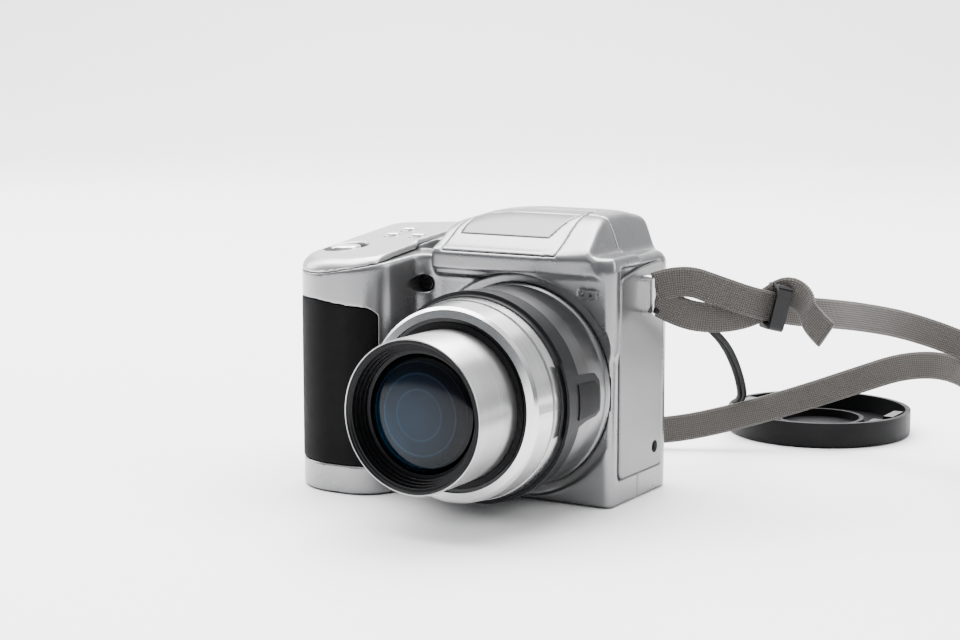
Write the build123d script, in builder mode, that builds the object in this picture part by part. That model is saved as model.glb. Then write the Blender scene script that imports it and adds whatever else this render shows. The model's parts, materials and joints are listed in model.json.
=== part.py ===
from build123d import *
import math
import os

# Compact digital camera with a ten-times zoom lens, its neck strap and its tethered lens cap.
# Frame: millimetres, +Z up, the lens looks along -Y, +X is the strap side that faces the viewer.
# The origin is the mouth of the tripod socket, in the middle of the base plane.

# ---- driving dimensions -------------------------------------------------------------------
right_x = 28.0            # right-hand side of the housing
left_x = -63.5            # left-hand side of the housing, the grip's outer side
front_y = -17.0           # plain front face
rear_y = 21.0             # rear face
grip_depth = 20.5         # how far the grip stands ahead of the front face
shoulder_z = 65.6         # top of the right-hand shoulder
hump_z = 77.5             # overall height, at the viewfinder hump
wall = 1.8                # housing wall
gap = 0.15                # clearance round buttons and other moving pieces
seat_gap = 0.05           # clearance where a fixed piece is fitted into another
split_y = -1.0            # seam between the front and the rear shell

grip_y = front_y - grip_depth
grip_inner_x = -34.5      # inner end of the grip's front
grip_root_x = -29.5       # where the grip's inner flank meets the front face
grip_round = 17.0
flank_round = 8.0
root_round = 4.0
front_corner = 1.6
rear_corner = 7.0
base_bevel = 0.8

# tilted top deck over the grip
deck_front_z = 63.6
deck_mid_x = -50.0
deck_rise_y = 0.105       # rise per millimetre towards the rear
deck_rise_x = 0.06        # rise per millimetre towards the hump
deck_end_x = -24.0
deck_thick = 2.6          # depth of the deck cover's skirt

# viewfinder hump
brow_depth = 3.0          # how far the brow stands ahead of the front face
brow_low_z = 59.8
brow_top_z = 66.3
brow_left_x = -25.2
hump_left_x = -36.0
hump_right_x = 22.0
hump_crest_y = 3.2
hump_rear_z = 74.5
visor_y = -13.0           # where the sloping visor meets the top plate
visor_z = 70.0

# lens
lens_z = 30.9
barrel_r = 19.7
barrel_wall = 1.5
barrel_front_y = -70.8    # lens extended
barrel_length = 36.0
glass_seat = 3.0          # from the barrel's inside to the edge of the front glass
mid_wall = 1.5
mid_r = barrel_r + gap + mid_wall
mid_front_y = -52.4
mid_length = 26.0
tube_wall = 1.5
tube_in_r = mid_r + gap
tube_r = tube_in_r + tube_wall
tube_rear_y = 6.0
lip_cover = 0.5           # how far the ring's lip covers the tube's front edge
lip_length = 3.6
lens_bore_r = tube_r - lip_cover
ring_wall = 3.4
lens_ring_r = tube_r + ring_wall
lens_ring_front_r = lens_ring_r - 1.1
lens_ring_front_y = -52.7
dark_ring_front_y = -41.1
shroud_step = 1.2
shroud_r = lens_ring_r + shroud_step
shroud_front_y = -37.4
shroud_wall = 1.5

# grip rubber
rubber_thick = 1.2
rubber_low_z = 7.8
rubber_top_z = 52.3
rubber_end_x = -34.0

# side panel, strap lugs and jack
panel_front_y = -12.5
panel_rear_y = 13.0
panel_low_z = 7.0
panel_top_z = 61.5
panel_proud = 0.4
panel_thick = 1.0
lug_y = 0.5
lug_z = 55.0
lug_half = 4.6            # half the bail's height
lug_reach = 3.4           # bail centre line, out from the housing's side
lug_wire_r = 0.9
jack_y = 8.6
jack_z = 12.4
jack_r = 1.7
jack_body_r = 3.4
jack_length = 6.0

# flash head
flash_right_x = 12.0
flash_left_x = -22.5
flash_pin_y = 1.4
flash_pin_z = 74.2
flash_pin_r = 0.8
flash_swing_r = 3.75     # the head behind its pin stays within this radius

# base
base_thick = 1.6
socket_r = 2.6            # tripod thread, quarter inch, at its minor diameter
socket_outer_r = 5.0
socket_length = 6.0
door_left_x = -57.0
door_right_x = -38.0
door_front_y = -29.0
door_rear_y = 4.0
door_pin_r = 0.6
door_hinge_gap = 0.45     # clearance beside the hinge, for the door's edge as it swings

# rear face
screen_x = 2.0
screen_z = 31.0
screen_w = 42.0
screen_h = 32.0
screen_thick = 1.4
finder_x = -4.0
finder_z = 67.5
finder_w = 15.0
finder_h = 8.0
button_r = 2.4
button_proud = 0.8

# lens cap, inner side up on the surface that the camera stands on
cap_x = 37.0
cap_y = 111.0
cap_r = 28.3
cap_height = 7.5
cap_floor = 2.0
cap_rim = 1.6
post_x = cap_x - 23.6     # the tether's post, inside the cap's rim
post_y = cap_y - 9.5

# neck strap: flat webbing, its tube as thick as the webbing with its edges rolled
strap_width = 8.0
strap_tube_r = 1.4
tether_tube_r = 1.1
coil_x = 163.0
coil_y = 30.0
coil_low_z = 0.3
coil_in_r = 32.2
coil_out_r = 47.6
buckle_deep = 7.4
buckle_long = 4.0
buckle_round = 1.2

os.makedirs("parts", exist_ok=True)
made = {}
lens_axis = Axis((0, 0, lens_z), (0, 1, 0))
lens_profile = Plane(origin=(0, 0, lens_z), x_dir=(1, 0, 0), z_dir=(0, 0, 1))


def keep(builder, name):
    """Label a finished piece and write it."""
    builder.part.label = name
    made[name] = builder.part
    export_step(builder.part, f"parts/{name}.step")


def facing_front(y):
    """Plane whose normal points to the front and whose X is the camera's X."""
    return Plane(origin=(0, y, 0), x_dir=(1, 0, 0), z_dir=(0, -1, 0))


def lens_plane(y):
    """The same, centred on the lens axis."""
    return Plane(origin=(0, y, lens_z), x_dir=(1, 0, 0), z_dir=(0, -1, 0))


def deck_z(x, y):
    """Height of the top deck at a point of its plan."""
    return deck_front_z + deck_rise_y * (y - grip_y) + deck_rise_x * (x - deck_mid_x)


def body_plan(inset):
    """Plan outline of the housing, drawn in by an inset."""
    corners = [
        (right_x, front_y, front_corner),
        (right_x, rear_y, rear_corner),
        (left_x, rear_y, rear_corner),
        (left_x, grip_y, grip_round),
        (grip_inner_x, grip_y, flank_round),
        (grip_root_x, front_y, root_round),
    ]
    with BuildSketch() as plan:
        with BuildLine():
            Polyline(*[(x, y) for x, y, _ in corners], close=True)
        make_face()
        for x, y, radius in corners:
            fillet(plan.vertices().sort_by_distance((x, y, 0))[0], radius)
        if inset:
            offset(amount=-inset, kind=Kind.INTERSECTION)
    return plan.sketch


def hump_block(inset):
    """The viewfinder hump, or its plain inner space when drawn in by an inset."""
    base_z = shoulder_z - 6
    brow_y = front_y - brow_depth
    with BuildSketch(facing_front(0)) as front:
        with BuildLine():
            if inset:
                Polyline(
                    (hump_left_x + inset + 2, base_z),
                    (hump_left_x + inset + 2, deck_z(hump_left_x, 0) - inset),
                    (-24, hump_z - 5.6 - inset), (-13, hump_z - 1.4 - inset), (5, hump_z - 0.3 - inset),
                    (12, hump_z - 2.4 - inset), (16.5, hump_z - 7.0 - inset),
                    (hump_right_x - inset, shoulder_z - inset), (hump_right_x - inset, base_z),
                    close=True,
                )
            else:
                left = Line((hump_left_x, base_z), (hump_left_x, deck_z(hump_left_x, 0)))
                rise = Spline(left @ 1, (-25, hump_z - 5.4), (-13, hump_z - 0.9), (0, hump_z))
                crest = Line(rise @ 1, (7, hump_z))
                fall = Spline(crest @ 1, (13.6, hump_z - 2.0), (18, hump_z - 6.5),
                              (hump_right_x, shoulder_z))
                Polyline(fall @ 1, (hump_right_x, base_z), left @ 0)
        make_face()
    with BuildSketch(Plane.YZ) as side:
        with BuildLine():
            if inset:
                Polyline(
                    (brow_y + inset, base_z), (brow_y + inset, brow_top_z - 1),
                    (visor_y + inset, visor_z - inset), (-5.5, hump_z - 3.2 - inset),
                    (hump_crest_y, hump_z - 0.3 - inset), (12, hump_z - 0.3 - inset),
                    (rear_y - inset, hump_rear_z - inset), (rear_y - inset, base_z),
                    close=True,
                )
            else:
                crest = ThreePointArc((visor_y, visor_z), (-6.0, hump_z - 2.6), (hump_crest_y, hump_z))
                back = Line(crest @ 1, (12, hump_z))
                Polyline(back @ 1, (rear_y, hump_rear_z), (rear_y, base_z), (brow_y, base_z),
                         (brow_y, brow_top_z), crest @ 0)
        make_face()
    with BuildPart() as hump:
        extrude(front.sketch, amount=60, both=True)
        extrude(side.sketch, amount=90, both=True, mode=Mode.INTERSECT)
        with BuildSketch(Plane.XY.offset(base_z - 1)):
            with Locations((brow_left_x + inset - 10, front_y + inset - 10)):
                Rectangle(20, 20)
        extrude(amount=40, mode=Mode.SUBTRACT)
    return hump.part


def envelope(inset):
    """The whole closed housing, drawn in by an inset on its sides and top."""
    low = -1.0 if inset else 0.0
    deck_cut = Plane(
        origin=(deck_mid_x, grip_y, deck_front_z - inset),
        z_dir=(-deck_rise_x, -deck_rise_y, 1),
    )
    with BuildPart() as block:
        with BuildSketch(Plane.XY.offset(low)):
            add(body_plan(inset))
        extrude(amount=hump_z + 6)
        split(bisect_by=deck_cut, keep=Keep.BOTTOM)
    with BuildPart() as shoulder:
        with BuildSketch(Plane.XY.offset(shoulder_z - inset)):
            with Locations(((deck_end_x + right_x) / 2 + 5, 0)):
                Rectangle(right_x - deck_end_x + 10, 200)
        extrude(amount=40)
    with BuildPart() as whole:
        add(block.part)
        add(shoulder.part, mode=Mode.SUBTRACT)
        add(hump_block(inset))
    return whole.part


def brow_block():
    """The brow over the lens, arched round the shroud."""
    arch_r = shroud_r + 2.6
    arch_x = math.sqrt(arch_r ** 2 - (brow_low_z - lens_z) ** 2)
    end_z = 46.0
    end_x = math.sqrt(arch_r ** 2 - (end_z - lens_z) ** 2)
    mid = math.radians(48)
    with BuildPart() as brow:
        with BuildSketch(facing_front(front_y)):
            with BuildLine():
                arch = ThreePointArc(
                    (arch_x, brow_low_z),
                    (arch_r * math.cos(mid), lens_z + arch_r * math.sin(mid)),
                    (end_x, end_z),
                )
                Polyline(arch @ 1, (right_x - 0.4, end_z), (right_x - 0.4, shoulder_z - 1),
                         (brow_left_x, shoulder_z - 1), (brow_left_x, brow_low_z), arch @ 0)
            make_face()
        extrude(amount=brow_depth)
        slope = Plane(origin=(12, front_y - brow_depth, 0), z_dir=(1, -5.0, 0))
        split(bisect_by=slope, keep=Keep.BOTTOM)
    return brow.part


def prism(plane, points, depth):
    """A straight prism on a plane, from a closed outline."""
    with BuildPart() as block:
        with BuildSketch(plane):
            with BuildLine():
                Polyline(*points, close=True)
            make_face()
        extrude(amount=depth)
    return block.part


def slab(x0, x1, y0, y1, z0, z1):
    """A plain block between two corners."""
    return prism(Plane.XY.offset(z0), [(x0, y0), (x1, y0), (x1, y1), (x0, y1)], z1 - z0)


def rod(start, direction, radius, length):
    """A plain round bar."""
    with BuildPart() as bar:
        with BuildSketch(Plane(origin=start, z_dir=direction)):
            Circle(radius)
        extrude(amount=length)
    return bar.part


def turned(points):
    """A piece turned about the lens axis, from points (radius, y)."""
    with BuildPart() as piece:
        with BuildSketch(lens_profile):
            with BuildLine():
                Polyline(*points, close=True)
            make_face()
        revolve(axis=lens_axis)
    return piece.part


# ---- flash head and the housing's outside ---------------------------------------------------
brow_y = front_y - brow_depth
flash_rear_y = flash_pin_y
flash_plan = [
    (flash_left_x, brow_y - 5),
    (flash_right_x, brow_y - 5),
    (flash_right_x, flash_rear_y),
    (flash_left_x, flash_rear_y),
]
flash_bore_x = -17.5      # the pin's blind end, inside the head
flash_pin_end = 1.5       # the pin's length in the housing
flash_floor_z = brow_top_z

with BuildPart() as flash_zone:
    with BuildSketch(Plane.XY.offset(flash_floor_z)):
        with BuildLine():
            Polyline(*flash_plan, close=True)
        make_face()
    extrude(amount=30)

with BuildPart() as flash_well:
    with BuildSketch(Plane.XY.offset(flash_floor_z - gap)):
        with BuildLine():
            Polyline(*flash_plan, close=True)
        make_face()
        offset(amount=gap, kind=Kind.INTERSECTION)
    extrude(amount=30)
    add(rod((flash_left_x - gap, flash_pin_y, flash_pin_z), (1, 0, 0), flash_swing_r + gap,
            flash_right_x - flash_left_x + 2 * gap))
    with BuildSketch(Plane.XY.offset(brow_low_z + 1.2)):
        with Locations(((flash_left_x + flash_right_x) / 2 - 1, (brow_y + flash_rear_y) / 2 + 1)):
            Rectangle(flash_right_x - flash_left_x - 6, flash_rear_y - brow_y - 6)
    extrude(amount=10)

outer = envelope(0)
inner = envelope(wall)
hump_outer = hump_block(0)

# ---- side panel ---------------------------------------------------------------------------------
panel_x = right_x + panel_proud - panel_thick


def panel_plan(grow):
    """Outline of the side panel, as seen from the strap side."""
    points = [(panel_front_y, panel_low_z), (panel_rear_y, panel_low_z), (panel_rear_y, panel_top_z + 2),
              (-1.0, panel_top_z + 1), (panel_front_y, panel_top_z - 1)]
    with BuildSketch(Plane.YZ.offset(panel_x - grow)) as plan:
        with BuildLine():
            Polyline(*points, close=True)
        make_face()
        fillet(plan.vertices(), 2.0)
        if grow:
            offset(amount=grow)
    return plan.sketch


with BuildPart() as panel_recess:
    extrude(panel_plan(seat_gap), amount=4)

with BuildPart() as side_panel:
    extrude(panel_plan(0), amount=panel_thick)
    chamfer(side_panel.faces().sort_by(Axis.X)[-1].edges(), 0.3)
    add(rod((panel_x - 1, jack_y, jack_z), (1, 0, 0), jack_r, 4), mode=Mode.SUBTRACT)
    for side in (-1, 1):
        add(rod((panel_x - 1, lug_y, lug_z + side * lug_half), (1, 0, 0), lug_wire_r + seat_gap, 4),
            mode=Mode.SUBTRACT)
keep(side_panel, "side_panel")

# ---- grip rubber -----------------------------------------------------------------------------------
with BuildPart() as rubber_ring:
    with BuildSketch(Plane.XY.offset(rubber_low_z)):
        add(body_plan(0))
        add(body_plan(rubber_thick), mode=Mode.SUBTRACT)
    extrude(amount=rubber_top_z - rubber_low_z)

with BuildPart() as grip_rubber:
    add(rubber_ring.part)
    add(slab(left_x - 1, rubber_end_x, grip_y - 1, split_y - 0.4, 0, hump_z), mode=Mode.INTERSECT)
keep(grip_rubber, "grip_rubber")

# ---- shells ---------------------------------------------------------------------------------------
with BuildPart() as rubber_recess:
    with BuildSketch(Plane.XY.offset(rubber_low_z - seat_gap)):
        add(body_plan(0))
        add(body_plan(rubber_thick + seat_gap), mode=Mode.SUBTRACT)
    extrude(amount=rubber_top_z - rubber_low_z + 2 * seat_gap)
    add(slab(left_x - 1, rubber_end_x + seat_gap, grip_y - 1, split_y - 0.4 + seat_gap, 0, hump_z),
        mode=Mode.INTERSECT)

with BuildPart() as cavity:
    add(inner)
    add(slab(left_x, rubber_end_x + wall, grip_y, split_y, rubber_low_z - wall, rubber_top_z + wall),
        mode=Mode.SUBTRACT)
    with BuildSketch(Plane.XY.offset(-1)):
        add(body_plan(wall + rubber_thick))
    extrude(amount=rubber_top_z + 6)


def deck_block(depth, grow):
    """Everything above the seam under the deck cover."""
    seam = Plane(
        origin=(deck_mid_x, grip_y, deck_front_z - depth),
        z_dir=(-deck_rise_x, -deck_rise_y, 1),
    )
    with BuildPart() as block:
        with BuildSketch(Plane.XY.offset(deck_front_z - 12)):
            with Locations(((left_x + hump_left_x) / 2 - 1 + grow / 2, 0)):
                Rectangle(hump_left_x - left_x + 2 + grow, 120)
        extrude(amount=40)
        split(bisect_by=seam, keep=Keep.TOP)
    return block.part


shutter_at = (-54.5, -18.0)
shutter_r = 4.2
shutter_ring_r = 6.2
deck_buttons = {"drive_button": (-49.0, -2.4), "focus_button": (-48.3, 5.3), "flash_button": (-39.5, -4.0)}
deck_button_r = 2.2

with BuildPart() as top_deck:
    add(outer)
    add(deck_block(deck_thick, 0), mode=Mode.INTERSECT)
    add(cavity.part, mode=Mode.SUBTRACT)
    add(rod((shutter_at[0], shutter_at[1], 50), (0, 0, 1), shutter_ring_r + seat_gap, 40),
        mode=Mode.SUBTRACT)
    for x, y in deck_buttons.values():
        add(rod((x, y, 50), (0, 0, 1), deck_button_r + gap, 40), mode=Mode.SUBTRACT)
keep(top_deck, "top_deck")

with BuildPart() as housing:
    add(outer)
    add(brow_block())
    chamfer(housing.edges().group_by(Axis.Z)[0], base_bevel)
    add(cavity.part, mode=Mode.SUBTRACT)
    add(flash_well.part, mode=Mode.SUBTRACT)
    add(deck_block(deck_thick + seat_gap, seat_gap), mode=Mode.SUBTRACT)
    add(rubber_recess.part, mode=Mode.SUBTRACT)
    add(panel_recess.part, mode=Mode.SUBTRACT)
    add(rod((0, tube_rear_y, lens_z), (0, -1, 0), tube_r + 0.2, 60), mode=Mode.SUBTRACT)
    add(rod((0, front_y, lens_z), (0, -1, 0), shroud_r + 0.1, 8), mode=Mode.SUBTRACT)

lamp_at = (-28.6, 56.6)
lamp_r = 2.2
mic_at = (21.5, 56.8)

with BuildPart() as front_shell:
    add(housing.part)
    add(slab(left_x - 5, right_x + 5, grip_y - 5, split_y, -1, hump_z + 5), mode=Mode.INTERSECT)
    add(rod((lamp_at[0], front_y + 6, lamp_at[1]), (0, -1, 0), lamp_r + seat_gap, 20), mode=Mode.SUBTRACT)
    add(slab(mic_at[0] - 2.6, mic_at[0] + 2.6, brow_y - 1, front_y + 4, mic_at[1] - 1.2, mic_at[1] + 1.2),
        mode=Mode.SUBTRACT)
    for side in (-1, 1):
        add(rod((left_x - 9, lug_y, lug_z + side * lug_half), (1, 0, 0), lug_wire_r + seat_gap, 120),
            mode=Mode.SUBTRACT)
    add(rod((flash_right_x, flash_pin_y, flash_pin_z), (1, 0, 0), flash_pin_r + seat_gap, flash_pin_end),
        mode=Mode.SUBTRACT)
keep(front_shell, "front_shell")

rear_buttons = {"delete_button": (-25.0, 46.0), "menu_button": (-25.0, 37.0), "review_button": (-25.0, 28.0),
                "display_button": (14.0, 60.0)}
dial_at = (-43.0, 36.0)
dial_r = 9.5
dial_hub_r = 4.6
stick_r = 3.0
rocker_at = (-46.0, 57.0)
rocker_w = 16.0
rocker_h = 6.0

with BuildPart() as rear_shell:
    add(housing.part)
    add(slab(left_x - 5, right_x + 5, split_y, rear_y + 5, -1, hump_z + 5), mode=Mode.INTERSECT)
    for side in (-1, 1):
        add(rod((left_x - 9, lug_y, lug_z + side * lug_half), (1, 0, 0), lug_wire_r + seat_gap, 120),
            mode=Mode.SUBTRACT)
    add(rod((flash_right_x, flash_pin_y, flash_pin_z), (1, 0, 0), flash_pin_r + seat_gap, flash_pin_end),
        mode=Mode.SUBTRACT)
    add(rod((panel_x - 6, jack_y, jack_z), (1, 0, 0), jack_body_r + seat_gap, 6), mode=Mode.SUBTRACT)
    add(slab(screen_x - screen_w / 2 - seat_gap, screen_x + screen_w / 2 + seat_gap, rear_y - 4, rear_y + 1,
             screen_z - screen_h / 2 - seat_gap, screen_z + screen_h / 2 + seat_gap), mode=Mode.SUBTRACT)
    add(slab(finder_x - finder_w / 2, finder_x + finder_w / 2, rear_y - 4, rear_y + 1,
             finder_z - finder_h / 2, finder_z + finder_h / 2), mode=Mode.SUBTRACT)
    for x, z in rear_buttons.values():
        add(rod((x, rear_y - 6, z), (0, 1, 0), button_r + gap, 12), mode=Mode.SUBTRACT)
    add(rod((dial_at[0], rear_y - 6, dial_at[1]), (0, 1, 0), dial_r + gap, 12), mode=Mode.SUBTRACT)
    add(slab(rocker_at[0] - rocker_w / 2 - 0.4, rocker_at[0] + rocker_w / 2 + 0.4, rear_y - 4, rear_y + 1,
             rocker_at[1] - rocker_h / 2 - gap, rocker_at[1] + rocker_h / 2 + gap), mode=Mode.SUBTRACT)
keep(rear_shell, "rear_shell")

# ---- flash head -------------------------------------------------------------------------------------
flash_pocket = [
    (brow_y + 3.4, flash_floor_z - 1), (brow_y + 3.4, flash_floor_z + 0.4), (visor_y + 1.6, visor_z - 1.0),
    (visor_y + 7.0, visor_z + 1.4), (flash_pin_y - 4.2, visor_z + 1.4), (flash_pin_y - 4.2, flash_floor_z - 1),
]
plate_points = [
    (flash_left_x + 2.2, visor_y + 0.6), (flash_right_x - 5.0, visor_y + 0.6),
    (flash_right_x - 1.2, flash_pin_y - 3.4), (flash_left_x + 5.2, flash_pin_y - 3.4),
]
plate_thick = 0.6


def plate_block(grow):
    """The skin of the flash head inside the top plate's outline."""
    with BuildPart() as block:
        add(hump_outer)
        with BuildPart(mode=Mode.PRIVATE) as outline:
            with BuildSketch(Plane.XY.offset(visor_z - 1)):
                with BuildLine():
                    Polyline(*plate_points, close=True)
                make_face()
                if grow:
                    offset(amount=grow, kind=Kind.INTERSECTION)
            extrude(amount=20)
        add(outline.part, mode=Mode.INTERSECT)
        add(hump_outer.moved(Location((0, 0, -plate_thick - grow))), mode=Mode.SUBTRACT)
    return block.part


with BuildPart() as flash_top_plate:
    add(plate_block(0))
keep(flash_top_plate, "flash_top_plate")

with BuildPart() as flash_head:
    add(hump_outer)
    add(flash_zone.part, mode=Mode.INTERSECT)
    add(prism(Plane.YZ.offset(flash_left_x + 1.6), flash_pocket, flash_right_x - flash_left_x - 4.2),
        mode=Mode.SUBTRACT)
    with BuildPart(mode=Mode.PRIVATE) as knuckle:
        add(rod((flash_left_x, flash_pin_y, flash_pin_z), (1, 0, 0), flash_swing_r,
                flash_right_x - flash_left_x))
        add(hump_outer, mode=Mode.INTERSECT)
    add(knuckle.part)
    add(rod((flash_bore_x, flash_pin_y, flash_pin_z), (1, 0, 0), flash_pin_r + seat_gap, 120),
        mode=Mode.SUBTRACT)
    add(plate_block(seat_gap), mode=Mode.SUBTRACT)
keep(flash_head, "flash_head")


flash_window_w = 24.0
flash_window_x = (flash_left_x + flash_right_x) / 2 - 1
window_plane = Plane(origin=(flash_window_x, -8.6, flash_floor_z + 1.5), x_dir=(1, 0, 0),
                     z_dir=(0, -0.5, -0.866))
with BuildPart() as flash_window:
    with BuildSketch(window_plane):
        Rectangle(flash_window_w, 5.2)
    extrude(amount=0.8)
    with BuildSketch(window_plane):
        Rectangle(flash_window_w - 1.6, 3.6)
    extrude(amount=-0.4)
keep(flash_window, "flash_window")

with BuildPart() as flash_tube:
    with BuildSketch(window_plane.offset(-0.4)):
        Rectangle(flash_window_w - 3.0, 3.4)
        Rectangle(flash_window_w - 4.2, 2.2, mode=Mode.SUBTRACT)
    extrude(amount=-0.8)
keep(flash_tube, "flash_tube")

# ---- lens, fixed pieces ----------------------------------------------------------------------------
with BuildPart() as lens_shroud:
    add(turned([
        (shroud_r - shroud_wall, front_y), (shroud_r, front_y), (shroud_r, front_y - 1.2),
        (shroud_r - 0.5, front_y - 1.6), (shroud_r - 0.2, front_y - 10), (shroud_r - 0.7, shroud_front_y),
        (shroud_r - shroud_wall - 0.7, shroud_front_y),
    ]))
keep(lens_shroud, "lens_shroud")

tab_r = shroud_r + 0.1
tab_thick = 0.7
tab_outline = [
    (dark_ring_front_y, lens_z + 11.5), (shroud_front_y, lens_z + 9.6), (-35.0, lens_z + 7.6),
    (-26.0, lens_z + 6.9), (-24.0, lens_z + 4.8), (-24.0, lens_z - 3.1), (-26.0, lens_z - 4.3),
    (-31.0, lens_z - 4.7), (shroud_front_y, lens_z - 6.4), (dark_ring_front_y, lens_z - 9.0),
]
with BuildPart() as lens_dark_ring:
    add(turned([
        (shroud_r - shroud_wall - 0.7, shroud_front_y), (shroud_r, shroud_front_y),
        (shroud_r - 0.9, dark_ring_front_y), (shroud_r - shroud_wall - 0.7, dark_ring_front_y),
    ]))
    with BuildSketch(lens_plane(-22)) as tab_band:
        Circle(tab_r + tab_thick)
        Circle(tab_r, mode=Mode.SUBTRACT)
    with BuildPart(mode=Mode.PRIVATE) as tab:
        extrude(tab_band.sketch, amount=-dark_ring_front_y - 22)
        add(prism(Plane.YZ.offset(shroud_r - 12), tab_outline, 20), mode=Mode.INTERSECT)
    add(tab.part)
    add(turned([
        (shroud_r - 1.0, shroud_front_y), (tab_r + 0.2, shroud_front_y),
        (tab_r + 0.2, dark_ring_front_y + 1.4), (shroud_r - 1.0, dark_ring_front_y + 1.4),
    ]))
keep(lens_dark_ring, "lens_dark_ring")

badge_outline = [
    (-36.0, lens_z + 5.4), (-27.0, lens_z + 5.0), (-25.4, lens_z + 3.6), (-25.4, lens_z - 2.2),
    (-27.0, lens_z - 3.2), (-36.0, lens_z - 3.8),
]
with BuildPart() as tab_badge:
    with BuildSketch(lens_plane(-22)):
        Circle(tab_r + tab_thick + 0.3)
        Circle(tab_r + tab_thick, mode=Mode.SUBTRACT)
    extrude(amount=20)
    add(prism(Plane.YZ.offset(shroud_r - 12), badge_outline, 20), mode=Mode.INTERSECT)
keep(tab_badge, "tab_badge")

lip_y = lens_ring_front_y + lip_length
groove_y = dark_ring_front_y - 3.4
with BuildPart() as lens_ring:
    add(turned([
        (lens_bore_r, lens_ring_front_y), (lens_ring_front_r - 0.8, lens_ring_front_y + 0.4),
        (lens_ring_front_r, lens_ring_front_y + 1.2), (lens_ring_r - 0.5, groove_y - 0.8),
        (lens_ring_r - 1.1, groove_y - 0.7), (lens_ring_r - 1.1, groove_y),
        (lens_ring_r - 0.3, groove_y + 0.1), (lens_ring_r, dark_ring_front_y),
        (tube_r + seat_gap, dark_ring_front_y),
        (tube_r + seat_gap, lip_y), (lens_bore_r, lip_y),
    ]))
keep(lens_ring, "lens_ring")

with BuildPart() as lens_tube:
    add(turned([
        (tube_in_r, lip_y + 0.1), (tube_r, lip_y + 0.1), (tube_r, tube_rear_y), (9.0, tube_rear_y),
        (9.0, tube_rear_y - 1.6), (tube_in_r, tube_rear_y - 1.6),
    ]))
keep(lens_tube, "lens_tube")

with BuildPart() as barrel_seal:
    add(turned([
        (tube_in_r, lens_ring_front_y + 0.6), (lens_bore_r - seat_gap, lens_ring_front_y + 0.6),
        (lens_bore_r - seat_gap, lip_y), (tube_in_r, lip_y),
    ]))
keep(barrel_seal, "barrel_seal")

rear_group_y = -8.0
with BuildPart() as rear_lens_group:
    add(turned([
        (0, rear_group_y - 3.4), (7.0, rear_group_y - 2.2), (7.0, rear_group_y - 0.4),
        (tube_in_r, rear_group_y - 0.4), (tube_in_r, rear_group_y + 1.2), (7.0, rear_group_y + 1.2),
        (7.0, rear_group_y + 2.4), (0, rear_group_y + 3.2),
    ]))
keep(rear_lens_group, "rear_lens_group")

with BuildPart() as image_sensor:
    add(slab(-8, 8, tube_rear_y, tube_rear_y + 2.2, lens_z - 6.5, lens_z + 6.5))
    add(slab(-5, 5, tube_rear_y - 0.8, tube_rear_y, lens_z - 4, lens_z + 4))
keep(image_sensor, "image_sensor")

# ---- lens, moving pieces ----------------------------------------------------------------------------
barrel_in_r = barrel_r - barrel_wall
barrel_rear_y = barrel_front_y + barrel_length
with BuildPart() as zoom_barrel:
    add(turned([
        (barrel_in_r, barrel_front_y + 0.5), (barrel_in_r + 0.7, barrel_front_y), (barrel_r, barrel_front_y),
        (barrel_r, barrel_rear_y), (barrel_in_r, barrel_rear_y),
    ]))
keep(zoom_barrel, "zoom_barrel")

with BuildPart() as mid_barrel:
    add(turned([
        (barrel_r + gap, mid_front_y), (mid_r, mid_front_y), (mid_r, mid_front_y + mid_length),
        (barrel_r + gap, mid_front_y + mid_length),
    ]))
keep(mid_barrel, "mid_barrel")

ring_steps = 4
ring_front_y = barrel_front_y + 0.7
step_r = 0.55
step_y = 1.05
glass_r = barrel_in_r - glass_seat
ring_profile = [(barrel_in_r - seat_gap, ring_front_y)]
for step in range(ring_steps):
    ring_profile.append((barrel_in_r - seat_gap - 0.35 - step * step_r, ring_front_y + step * step_y))
    ring_profile.append((barrel_in_r - seat_gap - 0.35 - step * step_r, ring_front_y + (step + 1) * step_y))
ring_rear_y = ring_front_y + (ring_steps + 2) * step_y
ring_profile.append((glass_r + seat_gap, ring_front_y + ring_steps * step_y + 0.2))
ring_profile.append((glass_r + seat_gap, ring_rear_y))
ring_profile.append((barrel_in_r - seat_gap, ring_rear_y))
with BuildPart() as filter_ring:
    add(turned(ring_profile))
keep(filter_ring, "filter_ring")

glass_y = ring_front_y + ring_steps * step_y + 0.6
glass_edge = 2.0
glass_crown = 2.2
with BuildPart() as front_glass:
    with BuildSketch(lens_profile):
        with BuildLine():
            dome = ThreePointArc((0, glass_y - glass_crown), (glass_r * 0.55, glass_y - glass_crown * 0.7),
                                 (glass_r, glass_y))
            Polyline(dome @ 1, (glass_r, glass_y + glass_edge), (0, glass_y + glass_edge + 1.5), dome @ 0)
        make_face()
    revolve(axis=lens_axis)
keep(front_glass, "front_glass")

# ---- small fixed pieces on the front ------------------------------------------------------------------
with BuildPart() as af_lamp:
    with BuildSketch(facing_front(front_y + 3)):
        with Locations(lamp_at):
            Circle(lamp_r)
    extrude(amount=3.2)
    fillet(af_lamp.faces().sort_by(Axis.Y)[0].edges(), 0.5)
keep(af_lamp, "af_lamp")

mic_front_y = brow_y + 0.9
with BuildPart() as mic_cap:
    add(slab(mic_at[0] - 2.5, mic_at[0] + 2.5, mic_front_y, mic_front_y + 1.6,
             mic_at[1] - 1.1, mic_at[1] + 1.1))
    for side in (-1, 1):
        add(rod((mic_at[0] + side * 1.2, mic_front_y - 1, mic_at[1]), (0, 1, 0), 0.6, 2.0),
            mode=Mode.SUBTRACT)
keep(mic_cap, "mic_cap")

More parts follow.
